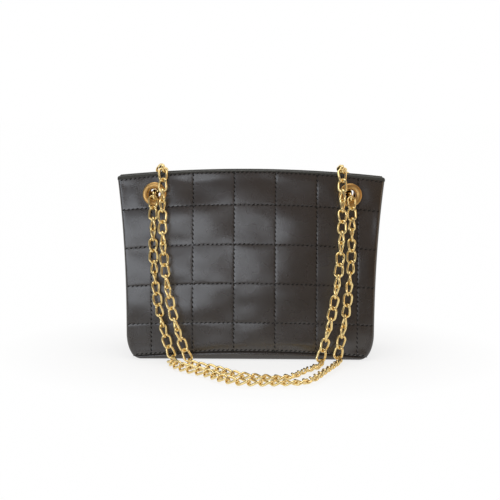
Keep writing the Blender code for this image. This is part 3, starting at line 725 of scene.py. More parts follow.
def freedom(points):
    """How free a panel's leather is to swell: not at its rim or its eyelets."""
    x, z = points[..., 0], points[..., 2]
    side = half_width(z) - np.abs(x)
    low = z - bowed(BOTTOM_SEAM_HEIGHT, BOTTOM_SEAM_BOW, x)
    high = bowed(HEM_LEVEL, HEM_BOW, x) - z
    rim = np.minimum(side, np.minimum(low, high))
    near_rim = fade(rim, 0.0, PANEL_RIM_FADE)
    return near_rim * fade(eyelet_distance(points), EYELET_EDGE, EYELET_EDGE)


def add_panel(face):
    """One quilted panel with holes for its eyelets."""
    name = "quilted_" + FACE_NAMES[face]
    points, seam_across, seam_up, dome = panel_grid(face)
    distance = eyelet_distance(points)
    loose = fade(distance, EYELET_EDGE, EYELET_FADE)
    mesh = grid_mesh(name, points, (0.0, face, 0.0))
    store(
        mesh, seam_across=seam_across, seam_up=seam_up, dome=dome, loose=loose,
        free=freedom(points),
    )
    open_eyelets(mesh, distance)
    values = {"Seed": PANEL_SEED + face, "Material": SATIN}
    piece = grow(name, mesh, PILLOWS, values, PANEL_THICKNESS)
    finish(piece, "bag", FACE_NAMES[face] + "_panel")
    print(name, "faces:", len(piece.data.polygons))


for wall in (FRONT, REAR):
    add_panel(wall)

# %% [markdown]
# ## Stitches
# The seams are sewn with black thread in short, slanted dashes. Each seam is a
# line of points that carry their outward direction. A tree lays one small bead
# of thread at every stitch length, turned along the line. It lifts the beads
# by the same swells as the leather, from the same seed.

# %% The stitch tree
BEAD_SEGMENTS = 8
BEAD_RINGS = 5


def stitch_tree():
    """Lay stitches along lines, turned outward by the lines' own direction."""
    tree, given = start_tree("stitch_row", {
        "Pitch": 4.4 * MM, "Length": 3.3 * MM, "Width": 1.15 * MM, "Height": 0.9 * MM,
        "Slant": math.radians(24.0), **SWELLS,
    })
    line = add_node(tree, "GeometryNodeMeshToCurve", given["Geometry"])[0]
    pitch = given["Pitch"]
    stops = add_node(tree, "GeometryNodeResampleCurve", line, mode="LENGTH", Length=pitch)[0]
    outward = read(tree, "outward", VECTOR)
    stops = move_along(tree, stops, outward, swell_height(tree, given))
    bead = add_node(tree, "GeometryNodeMeshUVSphere", BEAD_SEGMENTS, BEAD_RINGS, 0.5)[0]
    size = [given[label] for label in ("Length", "Width", "Height")]
    size = add_node(tree, "ShaderNodeCombineXYZ", *size)[0]
    axes = (outward, add_node(tree, "GeometryNodeInputTangent")[0])
    laid = lay(tree, stops, bead, axes, given["Slant"], size)
    return end_tree(tree, laid, given["Material"])


STITCHES = stitch_tree()
print("stitch tree nodes:", len(STITCHES.nodes))

# %% Seam lines on the panels
STITCH_RISE = 0.25 * MM
STITCH_STOP = 12.4 * MM
HEM_STITCH = 0.5 * MM
BOTTOM_STITCH = 1.0 * MM
COLUMN_GAP = 1.2 * MM
ROW_MARGIN = 3.0 * MM
RIM_MARGIN = 4.0 * MM
COLUMN_POINTS = 90
ROW_POINTS = 120


def wall_line(face, x, height):
    """A line on the wall from its places across and its heights."""
    x, height = np.broadcast_arrays(np.asarray(x, float), np.asarray(height, float))
    lean = np.array([lean_at(value) for value in height.ravel()])
    outward = np.stack((np.zeros_like(lean), face * np.cos(lean), np.sin(lean)), axis=-1)
    points = np.stack((x, face * half_depth(height), height), axis=-1)
    return points + outward * STITCH_RISE, outward


def clear_of_eyelets(points, outward):
    """Split a line where it would run under an eyelet."""
    free = eyelet_distance(points) > STITCH_STOP
    cuts = np.flatnonzero(np.diff(free)) + 1
    parts = zip(*(np.split(values, cuts) for values in (free, points, outward)))
    return [(line, out) for clear, line, out in parts if clear[0] and len(line) > 2]


def seam_lines(face):
    """All quilting, hem and bottom seams of a panel."""
    lines = []
    for x in COLUMN_LINES:
        low = bowed(BOTTOM_SEAM_HEIGHT, BOTTOM_SEAM_BOW, x)
        high = bowed(HEM_LEVEL, HEM_BOW, x) - HEM_STITCH - COLUMN_GAP
        lines += clear_of_eyelets(*wall_line(face, x, np.linspace(low, high, COLUMN_POINTS)))
    rows = [(*row, ROW_MARGIN) for row in list(zip(ROW_LEVELS, ROW_BOWS))[1:-1]]
    rows += [
        (BOTTOM_SEAM_HEIGHT + BOTTOM_STITCH, BOTTOM_SEAM_BOW, RIM_MARGIN),
        (HEM_LEVEL - HEM_STITCH, HEM_BOW, RIM_MARGIN),
    ]
    for level, bow, margin in rows:
        end = half_width(level - bow) - margin
        x = np.linspace(-end, end, ROW_POINTS)
        lines += clear_of_eyelets(*wall_line(face, x, bowed(level, bow, x)))
    return lines


def add_stitches(face):
    """All stitches of a panel, as one piece."""
    name = "quilt_thread_" + FACE_NAMES[face]
    lines = seam_lines(face)
    places, outward = (np.concatenate(part) for part in zip(*lines))
    ends = np.cumsum([len(points) for points, directions in lines]) - 1
    starts = np.setdiff1d(np.arange(len(places)), ends)
    mesh = bpy.data.meshes.new(name)
    mesh.from_pydata(places, np.stack((starts, starts + 1), axis=-1).tolist(), [])
    store(mesh, VECTOR, outward=outward)
    store(mesh, free=freedom(places))
    piece = grow(name, mesh, STITCHES, {"Seed": PANEL_SEED + face, "Material": THREAD})
    finish(piece, "bag", None)
    print(name, "stitches:", len(piece.data.polygons) // (BEAD_SEGMENTS * BEAD_RINGS))


for wall in (FRONT, REAR):
    add_stitches(wall)

# %% [markdown]
# ## Bound edges
# Each panel's top is bound with a narrow matt strip, rolled over the edge and
# sewn down just under it. It has no hollow, so it is a closed tube with a
# rounded square section. The section follows the panel's edge above and the
# hem's seam below, so the strip is thinner at the middle of the bag.

# %% The bound top edges
BINDING_STEPS = 160
BINDING_SIDES = 20
BINDING_END = 0.6 * MM
BINDING_CROWDING = 0.97
BINDING_SQUARENESS = 0.5
BINDING_END_ROUND = 1.4 * MM
BINDING_TIP = 0.02
BINDING_DEPTH = 2.0 * BINDING_RADIUS + 0.6 * MM
BINDING_RELIEF = 0.35 * MM
BINDING_WAVE = 0.15 * MM
WAVE_LENGTH = 7.3 * MM
WAVE_DRIFT = 0.8
WAVE_DRIFT_LENGTH = 19.0 * MM


def squared(wave):
    """A wave with flatter tops, so that a circle becomes a rounded square."""
    return np.sign(wave) * np.abs(wave) ** BINDING_SQUARENESS


def add_binding(face):
    """A matt strip folded over a panel's top, flush with it outside."""
    end = float(half_width(PANEL_TOP - TOP_BOW)) + BINDING_END
    share = np.linspace(-1.0, 1.0, BINDING_STEPS + 1)
    x = end * np.sin(share * math.pi / 2.0 * BINDING_CROWDING)
    x = x / math.sin(math.pi / 2.0 * BINDING_CROWDING)
    top = bowed(BAG_HEIGHT, TOP_BOW, x)
    low = bowed(HEM_LEVEL, HEM_BOW, x)
    angle = np.linspace(0.0, 2.0 * math.pi, BINDING_SIDES, endpoint=False)
    near = np.clip((end - np.abs(x)) / BINDING_END_ROUND, 0.0, 1.0)
    close = np.sqrt(1.0 - (1.0 - near) ** 2) * (1.0 - BINDING_TIP) + BINDING_TIP
    tall = (top - low) / 2.0 * close
    middle = top - (top - low) / 2.0 - (1.0 - close) * (top - low) / 4.0
    drift = WAVE_DRIFT * np.sin(x / WAVE_DRIFT_LENGTH)
    wave = BINDING_WAVE * np.sin(x / WAVE_LENGTH + drift)
    height = middle[:, None] + tall[:, None] * squared(np.sin(angle))
    outer = half_depth(height) + BINDING_RELIEF + wave[:, None]
    inner = BINDING_DEPTH * (0.5 - 0.5 * squared(np.cos(angle)) * close[:, None])
    across = np.broadcast_to(x[:, None], height.shape)
    points = np.stack((across, face * (outer - inner), height), axis=-1)
    first = range(BINDING_SIDES)
    last = range(BINDING_STEPS * BINDING_SIDES, (BINDING_STEPS + 1) * BINDING_SIDES)
    mesh = surface_mesh("bound_edge_" + FACE_NAMES[face], points, (1,), (first[::-1], last))
    turn_outward(mesh)
    mesh.materials.append(MATT)
    finish(add_object(mesh.name, mesh), "bag", FACE_NAMES[face] + "_binding")
    print(mesh.name, "faces:", len(mesh.polygons))


for wall in (FRONT, REAR):
    add_binding(wall)

# %% [markdown]
# ## Folded sides
# Each side is one piece of leather, folded inward more and more toward the
# mouth so that the bag can close, with a lining that follows the fold. Both
# are sheets from one rule, run through the leather's tree without puff, with
# slow swells that fade at the seams. A cloth simulation would wander from the
# panels that the leather is sewn to.

# %% Gussets and their lining
GUSSET_THICKNESS = 1.5 * MM
GUSSET_LINING_THICKNESS = 0.8 * MM
GUSSET_FOLD = 22.0 * MM
GUSSET_SEAM_INSET = 1.0 * MM
GUSSET_BOTTOM = 4.0 * MM
GUSSET_TOP_DROP = 1.5 * MM
GUSSET_COLUMNS = 41
GUSSET_ROWS = 91
GUSSET_LINING_SHARE = 0.75
GUSSET_SWELLS = {"Swell": 0.9 * MM, "Swell Size": 22.0 * MM}
GUSSET_SEED = 5.0
GUSSET_LINING_SEED = 8.0
CLOTH_SWELL = 0.3 * MM
FOLD_POWER = 1.5
RIM_FADE = 6.0 * MM


def gusset_points(side, across, height, inset):
    """Points of the folded side; the inset moves them towards the lining."""
    fold = GUSSET_FOLD * (height / PANEL_TOP) ** FOLD_POWER
    room = half_depth(height) - GUSSET_INSET
    slope = 2.0 * fold / room
    room = room - GUSSET_THICKNESS * slope / np.sqrt(1.0 + slope * slope)
    tilt = 2.0 * fold * across / room
    length = np.sqrt(1.0 + tilt * tilt)
    x = half_width(height) - GUSSET_SEAM_INSET - fold * (1.0 - across * across)
    return np.stack((
        side * (x - inset / length), across * room + inset * tilt / length, height,
    ), axis=-1)


def soft_sheet(name, node, points, outward, thickness, material, values, holes=False):
    """A leather or cloth sheet, thickened, whose swells fade towards its rim."""
    mesh = grid_mesh(name, points, outward)
    steps_across = np.linalg.norm(np.diff(points, axis=1), axis=-1)
    steps_up = np.linalg.norm(np.diff(points, axis=0), axis=-1)
    along = np.pad(np.cumsum(steps_across, axis=1), ((0, 0), (1, 0)))
    up = np.pad(np.cumsum(steps_up, axis=0), ((1, 0), (0, 0)))
    rim = np.minimum(np.minimum(along, along[:, -1:] - along), np.minimum(up, up[-1:] - up))
    store(mesh, free=fade(rim, 0.0, RIM_FADE))
    if holes:
        open_eyelets(mesh, eyelet_distance(points))
    piece = grow(name, mesh, PILLOWS, {"Material": material, **values}, thickness)
    finish(piece, "bag", node)


def add_gusset(side):
    """The folded side of the bag with its lining."""
    top = bowed(PANEL_TOP, TOP_BOW, TOP_HALF_WIDTH) - GUSSET_TOP_DROP
    across = np.linspace(-1.0, 1.0, GUSSET_COLUMNS)[None, :]
    height = np.linspace(GUSSET_BOTTOM, top, GUSSET_ROWS)[:, None] + 0.0 * across
    across = across + 0.0 * height
    name = SIDE_NAMES[side]
    soft_sheet(
        "folded_side_" + name, name + "_gusset", gusset_points(side, across, height, 0.0),
        (side, 0.0, 0.0), GUSSET_THICKNESS, SATIN,
        {**GUSSET_SWELLS, "Seed": GUSSET_SEED + side},
    )
    inset = GUSSET_THICKNESS + SHEET_GAP
    inner = gusset_points(side, across * GUSSET_LINING_SHARE, height, inset)
    soft_sheet(
        "side_lining_" + name, "lining_" + name, inner, (side, 0.0, 0.0),
        GUSSET_LINING_THICKNESS, CLOTH, {"Swell": CLOTH_SWELL, "Seed": GUSSET_LINING_SEED + side},
    )


for hand in (LEFT, RIGHT):
    add_gusset(hand)

# %% [markdown]
# ## The base
# The base is one panel that lies flat and rolls up to a seam on each long side.
# Inside lie a stiff board, which keeps the model's own solid, and a loose
# lining cloth. The base is one sheet: a row of points across the bag, drawn
# along its length and lifted at the round corners.

# %% The base and what lies on it
BASE_THICKNESS = 1.8 * MM
BASE_ROUND = 9.0 * MM
BASE_END = 7.2 * MM
BASE_ROLL_POWER = 0.7
BASE_COLUMNS = 121
BASE_FLAT_ROWS = 17
BASE_ROLL_ROWS = 22
BASE_LINING_COLUMNS = 81
BASE_LINING_ROWS = 25
BASE_LINING_SEED = 3.0
SEAM_LAP = 2.0 * MM
BOARD_THICKNESS = 1.5 * MM
BOARD_HALF_LENGTH = BASE_HALF_WIDTH - 19.0 * MM
BOARD_CORNER = 12.0 * MM
BASE_FLAT = 31.5 * MM
BASE_OUT = BASE_HALF_DEPTH - 1.6 * MM
BASE_IN = BASE_HALF_DEPTH - 4.6 * MM
BASE_RIM = half_depth(BOTTOM_SEAM_HEIGHT + SEAM_LAP) - PANEL_THICKNESS - SHEET_GAP - SEAT_GAP


def add_base():
    """The base: flat on the ground, its long sides rolled up under the panels."""
    flat_half = BASE_HALF_WIDTH - CORNER_WIDTH
    x = np.linspace(-flat_half - BASE_END, flat_half + BASE_END, BASE_COLUMNS)
    tuck = np.clip((np.abs(x) - flat_half) / CORNER_WIDTH, 0.0, 1.0)
    lift = CORNER_HEIGHT * (1.0 - np.sqrt(1.0 - tuck * tuck))
    inside = np.minimum(np.abs(x), flat_half)
    rise = bowed(BOTTOM_SEAM_HEIGHT, BOTTOM_SEAM_BOW, inside) - lift
    flat_deep = np.linspace(-1.0, 1.0, BASE_FLAT_ROWS)[1:-1] * BASE_FLAT
    turn = np.linspace(0.0, math.pi, BASE_ROLL_ROWS)
    deep = BASE_FLAT + (BASE_OUT - BASE_FLAT) * np.sin(turn) ** BASE_ROLL_POWER
    deep = np.where(turn > math.pi / 2.0, BASE_IN + (BASE_OUT - BASE_IN) * np.sin(turn), deep)
    climb = (1.0 - np.cos(turn)) / 2.0
    y = np.concatenate((-deep[::-1], flat_deep, deep))[:, None]
    climb = np.concatenate((climb[::-1], np.zeros(len(flat_deep)), climb))[:, None]
    points = np.stack(np.broadcast_arrays(x, y, lift + rise * climb), axis=-1)
    soft_sheet(
        "curved_base", "base_panel", points, (0.0, 0.0, -1.0), BASE_THICKNESS, SATIN,
        {"Swell": 0.0},
    )


def add_base_lining():
    """The loose cloth on the base board, with round corners."""
    deep = BASE_RIM - BASE_ROUND
    low = BASE_THICKNESS + SEAT_GAP + BOARD_THICKNESS + SEAT_GAP
    across = np.linspace(-1.0, 1.0, BASE_LINING_COLUMNS)[None, :]
    y = np.linspace(-1.0, 1.0, BASE_LINING_ROWS)[:, None] * deep
    tuck = np.clip((np.abs(y) - deep + BOARD_CORNER) / BOARD_CORNER, 0.0, 1.0)
    reach = BOARD_HALF_LENGTH - BOARD_CORNER * (1.0 - np.sqrt(1.0 - tuck * tuck))
    points = np.stack(np.broadcast_arrays(across * reach, y, low + LINING_THICKNESS), axis=-1)
    soft_sheet(
        "base_lining_cloth", "lining_base", points, (0.0, 0.0, 1.0), LINING_THICKNESS, CLOTH,
        {"Swell": CLOTH_SWELL, "Seed": BASE_LINING_SEED},
    )


add_base()
add_base_lining()
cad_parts["base_board"].data.materials.clear()
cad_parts["base_board"].data.materials.append(BOARD)

# %% [markdown]
# ## Inside the panels
# Behind each panel's top band sits a leather facing that carries the snap, and
# the lining is sewn to it below. Both follow the panel half a millimetre in, so
# they are grids between two drooping lines rather than flat cloth, and the
# facing has the eyelets' holes.

# %% Facings and linings behind the panels
SHEET_SIDE_INSET = 1.5 * MM
FACING_GRID = (120, 18)
WALL_LINING_GRID = (90, 50)
WALL_LINING_SWELL = 0.35 * MM
WALL_LINING_SEED = 11.0


def wall_sheet_points(face, bottom, top, grid):
    """A grid behind a panel, from one drooping line up to another."""
    columns, rows = grid
    share = np.linspace(0.0, 1.0, rows + 1)[:, None]
    across = np.linspace(-1.0, 1.0, columns + 1)[None, :]
    height = bottom[0] + share * (top[0] - bottom[0]) + 0.0 * across
    for settle in range(SETTLE_ROUNDS):
        x = across * (half_width(height) - SHEET_SIDE_INSET)
        low = bowed(*bottom, x)
        height = low + (bowed(*top, x) - low) * share
    return np.stack((x, face * (half_depth(height) - LINING_INSET), height), axis=-1)


def add_wall_sheets(face):
    """The leather facing behind the top band, and the lining below it."""
    name = FACE_NAMES[face]
    bow = bow_at(FACING_BOTTOM)
    facing = wall_sheet_points(face, (FACING_BOTTOM, bow), (PANEL_TOP, TOP_BOW), FACING_GRID)
    soft_sheet(
        "top_facing_" + name, name + "_facing", facing, (0.0, face, 0.0), LINING_THICKNESS,
        MATT, {"Swell": 0.0}, holes=True,
    )
    bottom = (BOTTOM_SEAM_HEIGHT + SEAM_LAP + SHEET_GAP, BOTTOM_SEAM_BOW)
    top = (FACING_BOTTOM - SHEET_GAP, bow)
    lining = wall_sheet_points(face, bottom, top, WALL_LINING_GRID)
    soft_sheet(
        "wall_lining_" + name, "lining_" + name, lining, (0.0, face, 0.0), LINING_THICKNESS,
        CLOTH, {"Swell": WALL_LINING_SWELL, "Seed": WALL_LINING_SEED + face},
    )


for wall in (FRONT, REAR):
    add_wall_sheets(wall)

# %% [markdown]
# ## Eyelets and snap
# The eyelets are pressed from deep gold plate: a wide dome outside, a barrel
# through the leather, and a turned lip over a washer inside. Each is a section
# turned round its own axis. The magnetic snap's halves are turned the same way.

# %% Turned metal pieces
TURN_STEPS = 72
EYELET_HOLE_RADIUS = 5.8 * MM
EYELET_CREST_RADIUS = 9.7 * MM
EYELET_RIM_RADIUS = 11.75 * MM
EYELET_WALL = 1.0 * MM
EYELET_LIP = 1.6 * MM
EYELET_LIP_TIP = 1.8 * MM
EYELET_LIP_SOFT = 0.2 * MM
BARREL_TAPER = 0.1 * MM
BARREL_SOFT = 0.5 * MM
ARCH_STEPS = 26
ARCH_END = math.pi - 0.05
DOME_HEIGHT = 1.7 * MM
DOME_POWER = 0.8
DOME_BACK = 0.05 * MM
WASHER_THICKNESS = 0.8 * MM
WASHER_RADIUS = 10.5 * MM
WASHER_HOLE_RADIUS = 6.3 * MM + 0.5 * MM + SEAT_GAP
WASHER_SOFT = 0.15 * MM
WASHER_HIGH = -(GUSSET_INSET - SHEET_GAP) - SEAT_GAP
WASHER_LOW = WASHER_HIGH - WASHER_THICKNESS


def wall_matrix(x, height, face, inset=0.0):
    """A place on the wall whose local Z points out of the bag."""
    place = Matrix.Translation((x, face * (half_depth(height) - inset), height))
    return place @ Matrix.Rotation(-face * (math.pi / 2.0 - lean_at(height)), 4, "X")


def turned_piece(name, node, profile, matrix):
    """Turn a section round local Z and put the result in place."""
    angle = np.linspace(0.0, 2.0 * math.pi, TURN_STEPS, endpoint=False)[:, None]
    reach, height = np.array(profile).T
    points = np.stack(np.broadcast_arrays(
        np.cos(angle) * reach, np.sin(angle) * reach, height,
    ), axis=-1)
    mesh = surface_mesh(name, points, (0, 1) if profile[0][0] > 0.0 else (0,))
    mesh.transform(matrix)
    turn_outward(mesh)
    mesh.materials.append(EYELET_GOLD)
    finish(add_object(name, mesh), "bag", node)
    print(name, "faces:", len(mesh.polygons))


def eyelet_section():
    """Dome, barrel and lip of an eyelet, from the hole over the dome and back."""
    inner, crest, rim = EYELET_HOLE_RADIUS, EYELET_CREST_RADIUS, EYELET_RIM_RADIUS
    outer = inner + EYELET_WALL
    lip_top = WASHER_LOW - SEAT_GAP
    lip_low = lip_top - WASHER_THICKNESS
    arch = []
    for turn in np.linspace(0.0, ARCH_END, ARCH_STEPS):
        reach = crest - inner if turn < math.pi / 2.0 else rim - crest
        height = DOME_BACK + DOME_HEIGHT * math.sin(turn) ** DOME_POWER
        arch.append((crest - reach * math.cos(turn), height))
    return arch + [
        (rim, DOME_BACK), (outer, DOME_BACK), (outer, lip_top), (outer + EYELET_LIP, lip_top),
        (outer + EYELET_LIP_TIP, lip_top - EYELET_LIP_SOFT), (outer + EYELET_LIP, lip_low),
        (outer, lip_low), (inner + BARREL_TAPER, lip_top), (inner, lip_top + BARREL_SOFT),
    ]


def add_eyelet(face, side):
    """An eyelet with its washer."""
    label = FACE_NAMES[face] + "_" + SIDE_NAMES[side]
    matrix = wall_matrix(beside(side), EYELET_Z, face)
    high, low, soft = WASHER_HIGH, WASHER_LOW, WASHER_SOFT
    turned_piece("domed_eyelet_" + label, "eyelet_" + label, eyelet_section(), matrix)
    turned_piece("pressed_washer_" + label, "eyelet_washer_" + label, [
        (WASHER_RADIUS - soft, high), (WASHER_RADIUS, high - soft), (WASHER_RADIUS, low + soft),
        (WASHER_RADIUS - soft, low), (WASHER_HOLE_RADIUS, low), (WASHER_HOLE_RADIUS, high),
    ], matrix)


for wall in (FRONT, REAR):
    for hand in (LEFT, RIGHT):
        add_eyelet(wall, hand)

# %% The magnetic snap
SNAP_DROP = 18.0 * MM
SNAP_RADIUS = 8.5 * MM
SNAP_DISC = 1.6 * MM
SNAP_TOP = SNAP_DISC + 1.2 * MM
SNAP_SOFT = 0.25 * MM
BUTTON_RADIUS = 4.0 * MM


def add_snap(face, name, profile):
    """One half of the magnetic snap on its facing, from its raised part and its rim."""
    matrix = wall_matrix(0.0, BAG_HEIGHT - SNAP_DROP, face, GUSSET_INSET - SHEET_GAP + SEAT_GAP)
    matrix = matrix @ Matrix.Rotation(math.pi, 4, "X")
    turned_piece("magnet_" + name, "snap_" + name, profile, matrix)


add_snap(FRONT, "stud", [
    (0.0, SNAP_TOP), (BUTTON_RADIUS - SNAP_SOFT, SNAP_TOP),
    (BUTTON_RADIUS, SNAP_TOP - SNAP_SOFT), (BUTTON_RADIUS, SNAP_DISC),
    (SNAP_RADIUS - SNAP_SOFT, SNAP_DISC), (SNAP_RADIUS, SNAP_DISC - SNAP_SOFT),
    (SNAP_RADIUS, 0.0), (0.0, 0.0),
])
add_snap(REAR, "socket", [
    (0.0, SNAP_DISC), (BUTTON_RADIUS + 2.0 * SNAP_SOFT, SNAP_DISC),
    (BUTTON_RADIUS + 2.0 * SNAP_SOFT, SNAP_TOP - SNAP_SOFT),
    (BUTTON_RADIUS + 3.0 * SNAP_SOFT, SNAP_TOP), (SNAP_RADIUS - SNAP_SOFT, SNAP_TOP),
    (SNAP_RADIUS, SNAP_TOP - SNAP_SOFT), (SNAP_RADIUS, 0.0), (0.0, 0.0),
])

# %% [markdown]
# ## The chain
# A curb chain's links are each twisted a little, so every link leans the same
# way. The tree makes one link from a stretched circle, twists it and sweeps a
# round wire along it. Points on the chain's own route carry its direction, and
# each link is turned a quarter from the last, plus the twist.

# %% The link tree
RING_POINTS = 24
WIRE_SIDES = 10
LINK_SEGMENTS = 26


def circle(tree, points, radius):
    """A round curve."""
    return add_node(tree, "GeometryNodeCurvePrimitiveCircle", points, Radius=radius)[0]


def link_tree():
    """Twisted curb links from stop to stop along a route."""
    tree, given = start_tree("curb_chain", {
        "Half Length": 6.45 * MM, "Half Width": 3.9 * MM, "Wire Radius": 1.2 * MM,
        "Twist": math.radians(45.0), "Start Turn": 0.0,
    })
    ring = circle(tree, RING_POINTS, given["Half Width"])
    place = add_node(tree, "GeometryNodeInputPosition")[0]
    flat = add_node(tree, "ShaderNodeSeparateXYZ", place)
    stretch = compute(tree, "SUBTRACT", given["Half Length"], given["Half Width"])
    pull = compute(tree, "MULTIPLY", compute(tree, "SIGN", flat[1]), stretch)
    along = compute(tree, "ADD", flat[1], pull, given["Half Length"])
    stood = add_node(tree, "ShaderNodeCombineXYZ", flat[0], 0.0, along)[0]
    oval = add_node(tree, "GeometryNodeSetPosition", ring, None, stood)[0]
    even = add_node(tree, "GeometryNodeResampleCurve", oval, Count=LINK_SEGMENTS)[0]
    share = compute(tree, "DIVIDE", flat[2], compute(tree, "MULTIPLY", given["Half Length"], 2.0))
    lean = compute(tree, "MULTIPLY", share, given["Twist"])
    twisted = add_node(tree, "ShaderNodeVectorRotate", place, rotation_type="Z_AXIS", Angle=lean)
    curved = add_node(tree, "GeometryNodeSetPosition", even, None, twisted[0])[0]
    wire = circle(tree, WIRE_SIDES, given["Wire Radius"])
    link = add_node(tree, "GeometryNodeCurveToMesh", curved, wire)[0]
    number = add_node(tree, "GeometryNodeInputIndex")[0]
    step = compute(tree, "ADD", given["Twist"], math.pi / 2.0)
    angle = compute(tree, "ADD", compute(tree, "MULTIPLY", number, step), given["Start Turn"])
    axes = (read(tree, "along", VECTOR), read(tree, "side", VECTOR))
    return end_tree(tree, lay(tree, given["Geometry"], link, axes, angle), given["Material"])


LINKS = link_tree()
print("link tree nodes:", len(LINKS.nodes))

# %% [markdown]
# ## Where the chain runs
# Each run goes along a smooth route through a few points. Its links are
# stepped off along the route, and the route is slackened until the last link
# ends exactly at the run's end, as a real chain sags by its spare length. The
# stops are the model's, from the model's own link and wire. The links drawn on
# them are a little longer and thicker, as in the photograph.

# %% Routes and stops
LINK_HALF_LENGTH = 6.225 * MM
LINK_HALF_WIDTH = 3.9 * MM
LINK_WIRE_RADIUS = 1.1 * MM
LINK_LENGTH = LINK_HALF_LENGTH + LINK_HALF_LENGTH
BAR_SPACE = LINK_WIRE_RADIUS + LINK_WIRE_RADIUS
LINK_PLAY = 0.4 * MM
LINK_STRETCH = 0.35 * MM
BENT_STRETCH = 0.75 * MM
FUSED_PITCH = LINK_LENGTH - BAR_SPACE + LINK_STRETCH
BENT_PITCH = LINK_LENGTH - BAR_SPACE + BENT_STRETCH
LOOSE_PITCH = LINK_LENGTH - BAR_SPACE - LINK_PLAY
HOOK = BAR_SPACE + LINK_PLAY
QUARTER_TURN = math.radians(90.0)
HALF_TURN = math.radians(180.0)
LINK_TURN = math.radians(45.0)
ROUTE_STEP = 0.5 * MM
FIT_ROUNDS = 30
print("a link adds", round(1000 * FUSED_PITCH, 2), "mm to a run")


def smooth_route(points):
    """A fine line of points through a route's own points."""
    fine = []
    count = len(points)
    for index in range(count - 1):
        first = points[index]
        second = points[index + 1]
        before = points[index - 1] if index else first + first - second
        after = points[index + 2] if index + 2 < count else second + second - first
        steps = max(int((second - first).length / ROUTE_STEP), 2)
        for step in range(steps):
            t = step / steps
            fine.append(0.5 * (
                2.0 * first + (second - before) * t
                + (2.0 * before - 5.0 * first + 4.0 * second - after) * t * t
                + (3.0 * first - before - 3.0 * second + after) * t * t * t
            ))
    fine.append(points[-1])
    return fine


def length_of(route):
    """The length of a line of points."""
    return sum((b - a).length for a, b in zip(route, route[1:]))


def least(is_short, high=1.0):
    """The least value at which something is no longer short, by halving."""
    low = 0.0
    for settle in range(FIT_ROUNDS):
        middle = (low + high) / 2.0
        if is_short(middle):
            low = middle
        else:
            high = middle
    return high


def march(route, spans):
    """Walk a route in straight spans; gives the stops and what is left over."""
    stops = [route[0]]
    index = 1
    for number, span in enumerate(spans):
        here = stops[-1]
        while index < len(route) and (route[index] - here).length < span:
            index += 1
        if index == len(route):
            return None, (route[-1] - here).length - span - sum(spans[number + 1:])
        near, far = route[index - 1], route[index]
        share = least(lambda part: (near.lerp(far, part) - here).length < span)
        stops.append(near.lerp(far, share))
    return stops, (route[index] - stops[-1]).length + length_of(route[index:])


def link_count(length, pitch=FUSED_PITCH):
    """How many links a run needs to reach over a length."""
    return math.ceil((length - LINK_LENGTH) / pitch) + 1


def fit_run(make_points, counts, pitch=FUSED_PITCH):
    """Slacken a route until its links end at its last point."""
    spans = []
    for group, count in enumerate(counts):
        spans += [pitch] * (count - 1)
        spans.append(LOOSE_PITCH if group < len(counts) - 1 else LINK_LENGTH)

    def walk(slack):
        return march(smooth_route(make_points(slack)), spans)

    high = 1.0
    while walk(high)[1] < 0.0:
        high += high
    return walk(least(lambda slack: walk(slack)[1] < 0.0, high))[0]


# %% Links on the stops
ACROSS = Vector((1.0, 0.0, 0.0))
UP = Vector((0.0, 0.0, 1.0))


def run_twist(count, end_turn, link_turn):
    """Each link's twist, so that a run's last bar comes out at a turn."""
    wanted = (count - 1) * QUARTER_TURN - end_turn
    halves = round((wanted - count * link_turn) / HALF_TURN)
    return (halves * HALF_TURN - wanted) / count


def add_run(names, counts, stops, turns, body, lies=False):
    """Links from stop to stop, one piece for each name; a run hangs or lies level."""
    start_turn, end_turn, link_turn = turns
    twist = run_twist(sum(counts), end_turn, link_turn)
    number = 0
    for name, count in zip(names, counts):
        directions, sides = [], []
        for start, stop in zip(stops[number:number + count], stops[number + 1:]):
            along = (stop - start).normalized()
            side = UP.cross(along) if lies else ACROSS
            directions.append(along)
            sides.append((side - along * side.dot(along)).normalized())
        mesh = bpy.data.meshes.new("links_" + name)
        mesh.from_pydata(stops[number:number + count], [], [])
        store(mesh, VECTOR, along=directions, side=sides)
        piece = grow("links_" + name, mesh, LINKS, {
            "Twist": twist,
            "Start Turn": start_turn + number * (twist + QUARTER_TURN),
            "Material": CHAIN_GOLD,
        })
        finish(piece, body, name)
        number += count


# %% Where the runs start and end
CREST_HEIGHT = BAG_HEIGHT + 1.7 * MM
CREST_REACH = 15.5 * MM
CREST_INSET = 8.8 * MM
CREST_CLEARANCE = 2.9 * MM
RUN_BULGE = 4.0 * MM
KNEE_HEIGHT = 6.2 * MM
LOOP_HEIGHT = 4.7 * MM
FRONT_HANG_INSET = -0.8 * MM
KNEE_REACH = {"front": 50.0 * MM, "rear": 61.5 * MM}
KNEE_INSETS = {
    ("front", LEFT): 19.6 * MM, ("front", RIGHT): 12.7 * MM,
    ("rear", LEFT): 36.8 * MM, ("rear", RIGHT): 30.7 * MM,
}
STRAND_POWER = {LEFT: 3.0, RIGHT: 2.4}
STRAND_POINTS = 12
LOOP_REACH = {"front": 80.6 * MM, "rear": 56.0 * MM}
LOOP_TIGHTEST = 0.5
LOOP_SHARES = {
    "front": (
        (0.000, 0.00), (0.004, 0.15), (0.035, 0.30), (0.110, 0.46), (0.215, 0.61),
        (0.300, 0.81), (0.385, 0.95), (0.500, 1.00), (0.640, 1.00), (0.750, 0.98),
        (0.822, 0.86), (0.884, 0.61), (0.950, 0.35), (0.996, 0.16), (1.000, 0.00),
    ),
    "rear": (
        (0.000, 0.00), (0.010, 0.20), (0.090, 0.34), (0.190, 0.47), (0.280, 0.67),
        (0.400, 0.87), (0.560, 0.98), (0.690, 0.98), (0.790, 0.83), (0.865, 0.56),
        (0.940, 0.35), (0.993, 0.19), (1.000, 0.00),
    ),
}
EYELET_DEPTH = GUSSET_INSET + WASHER_THICKNESS
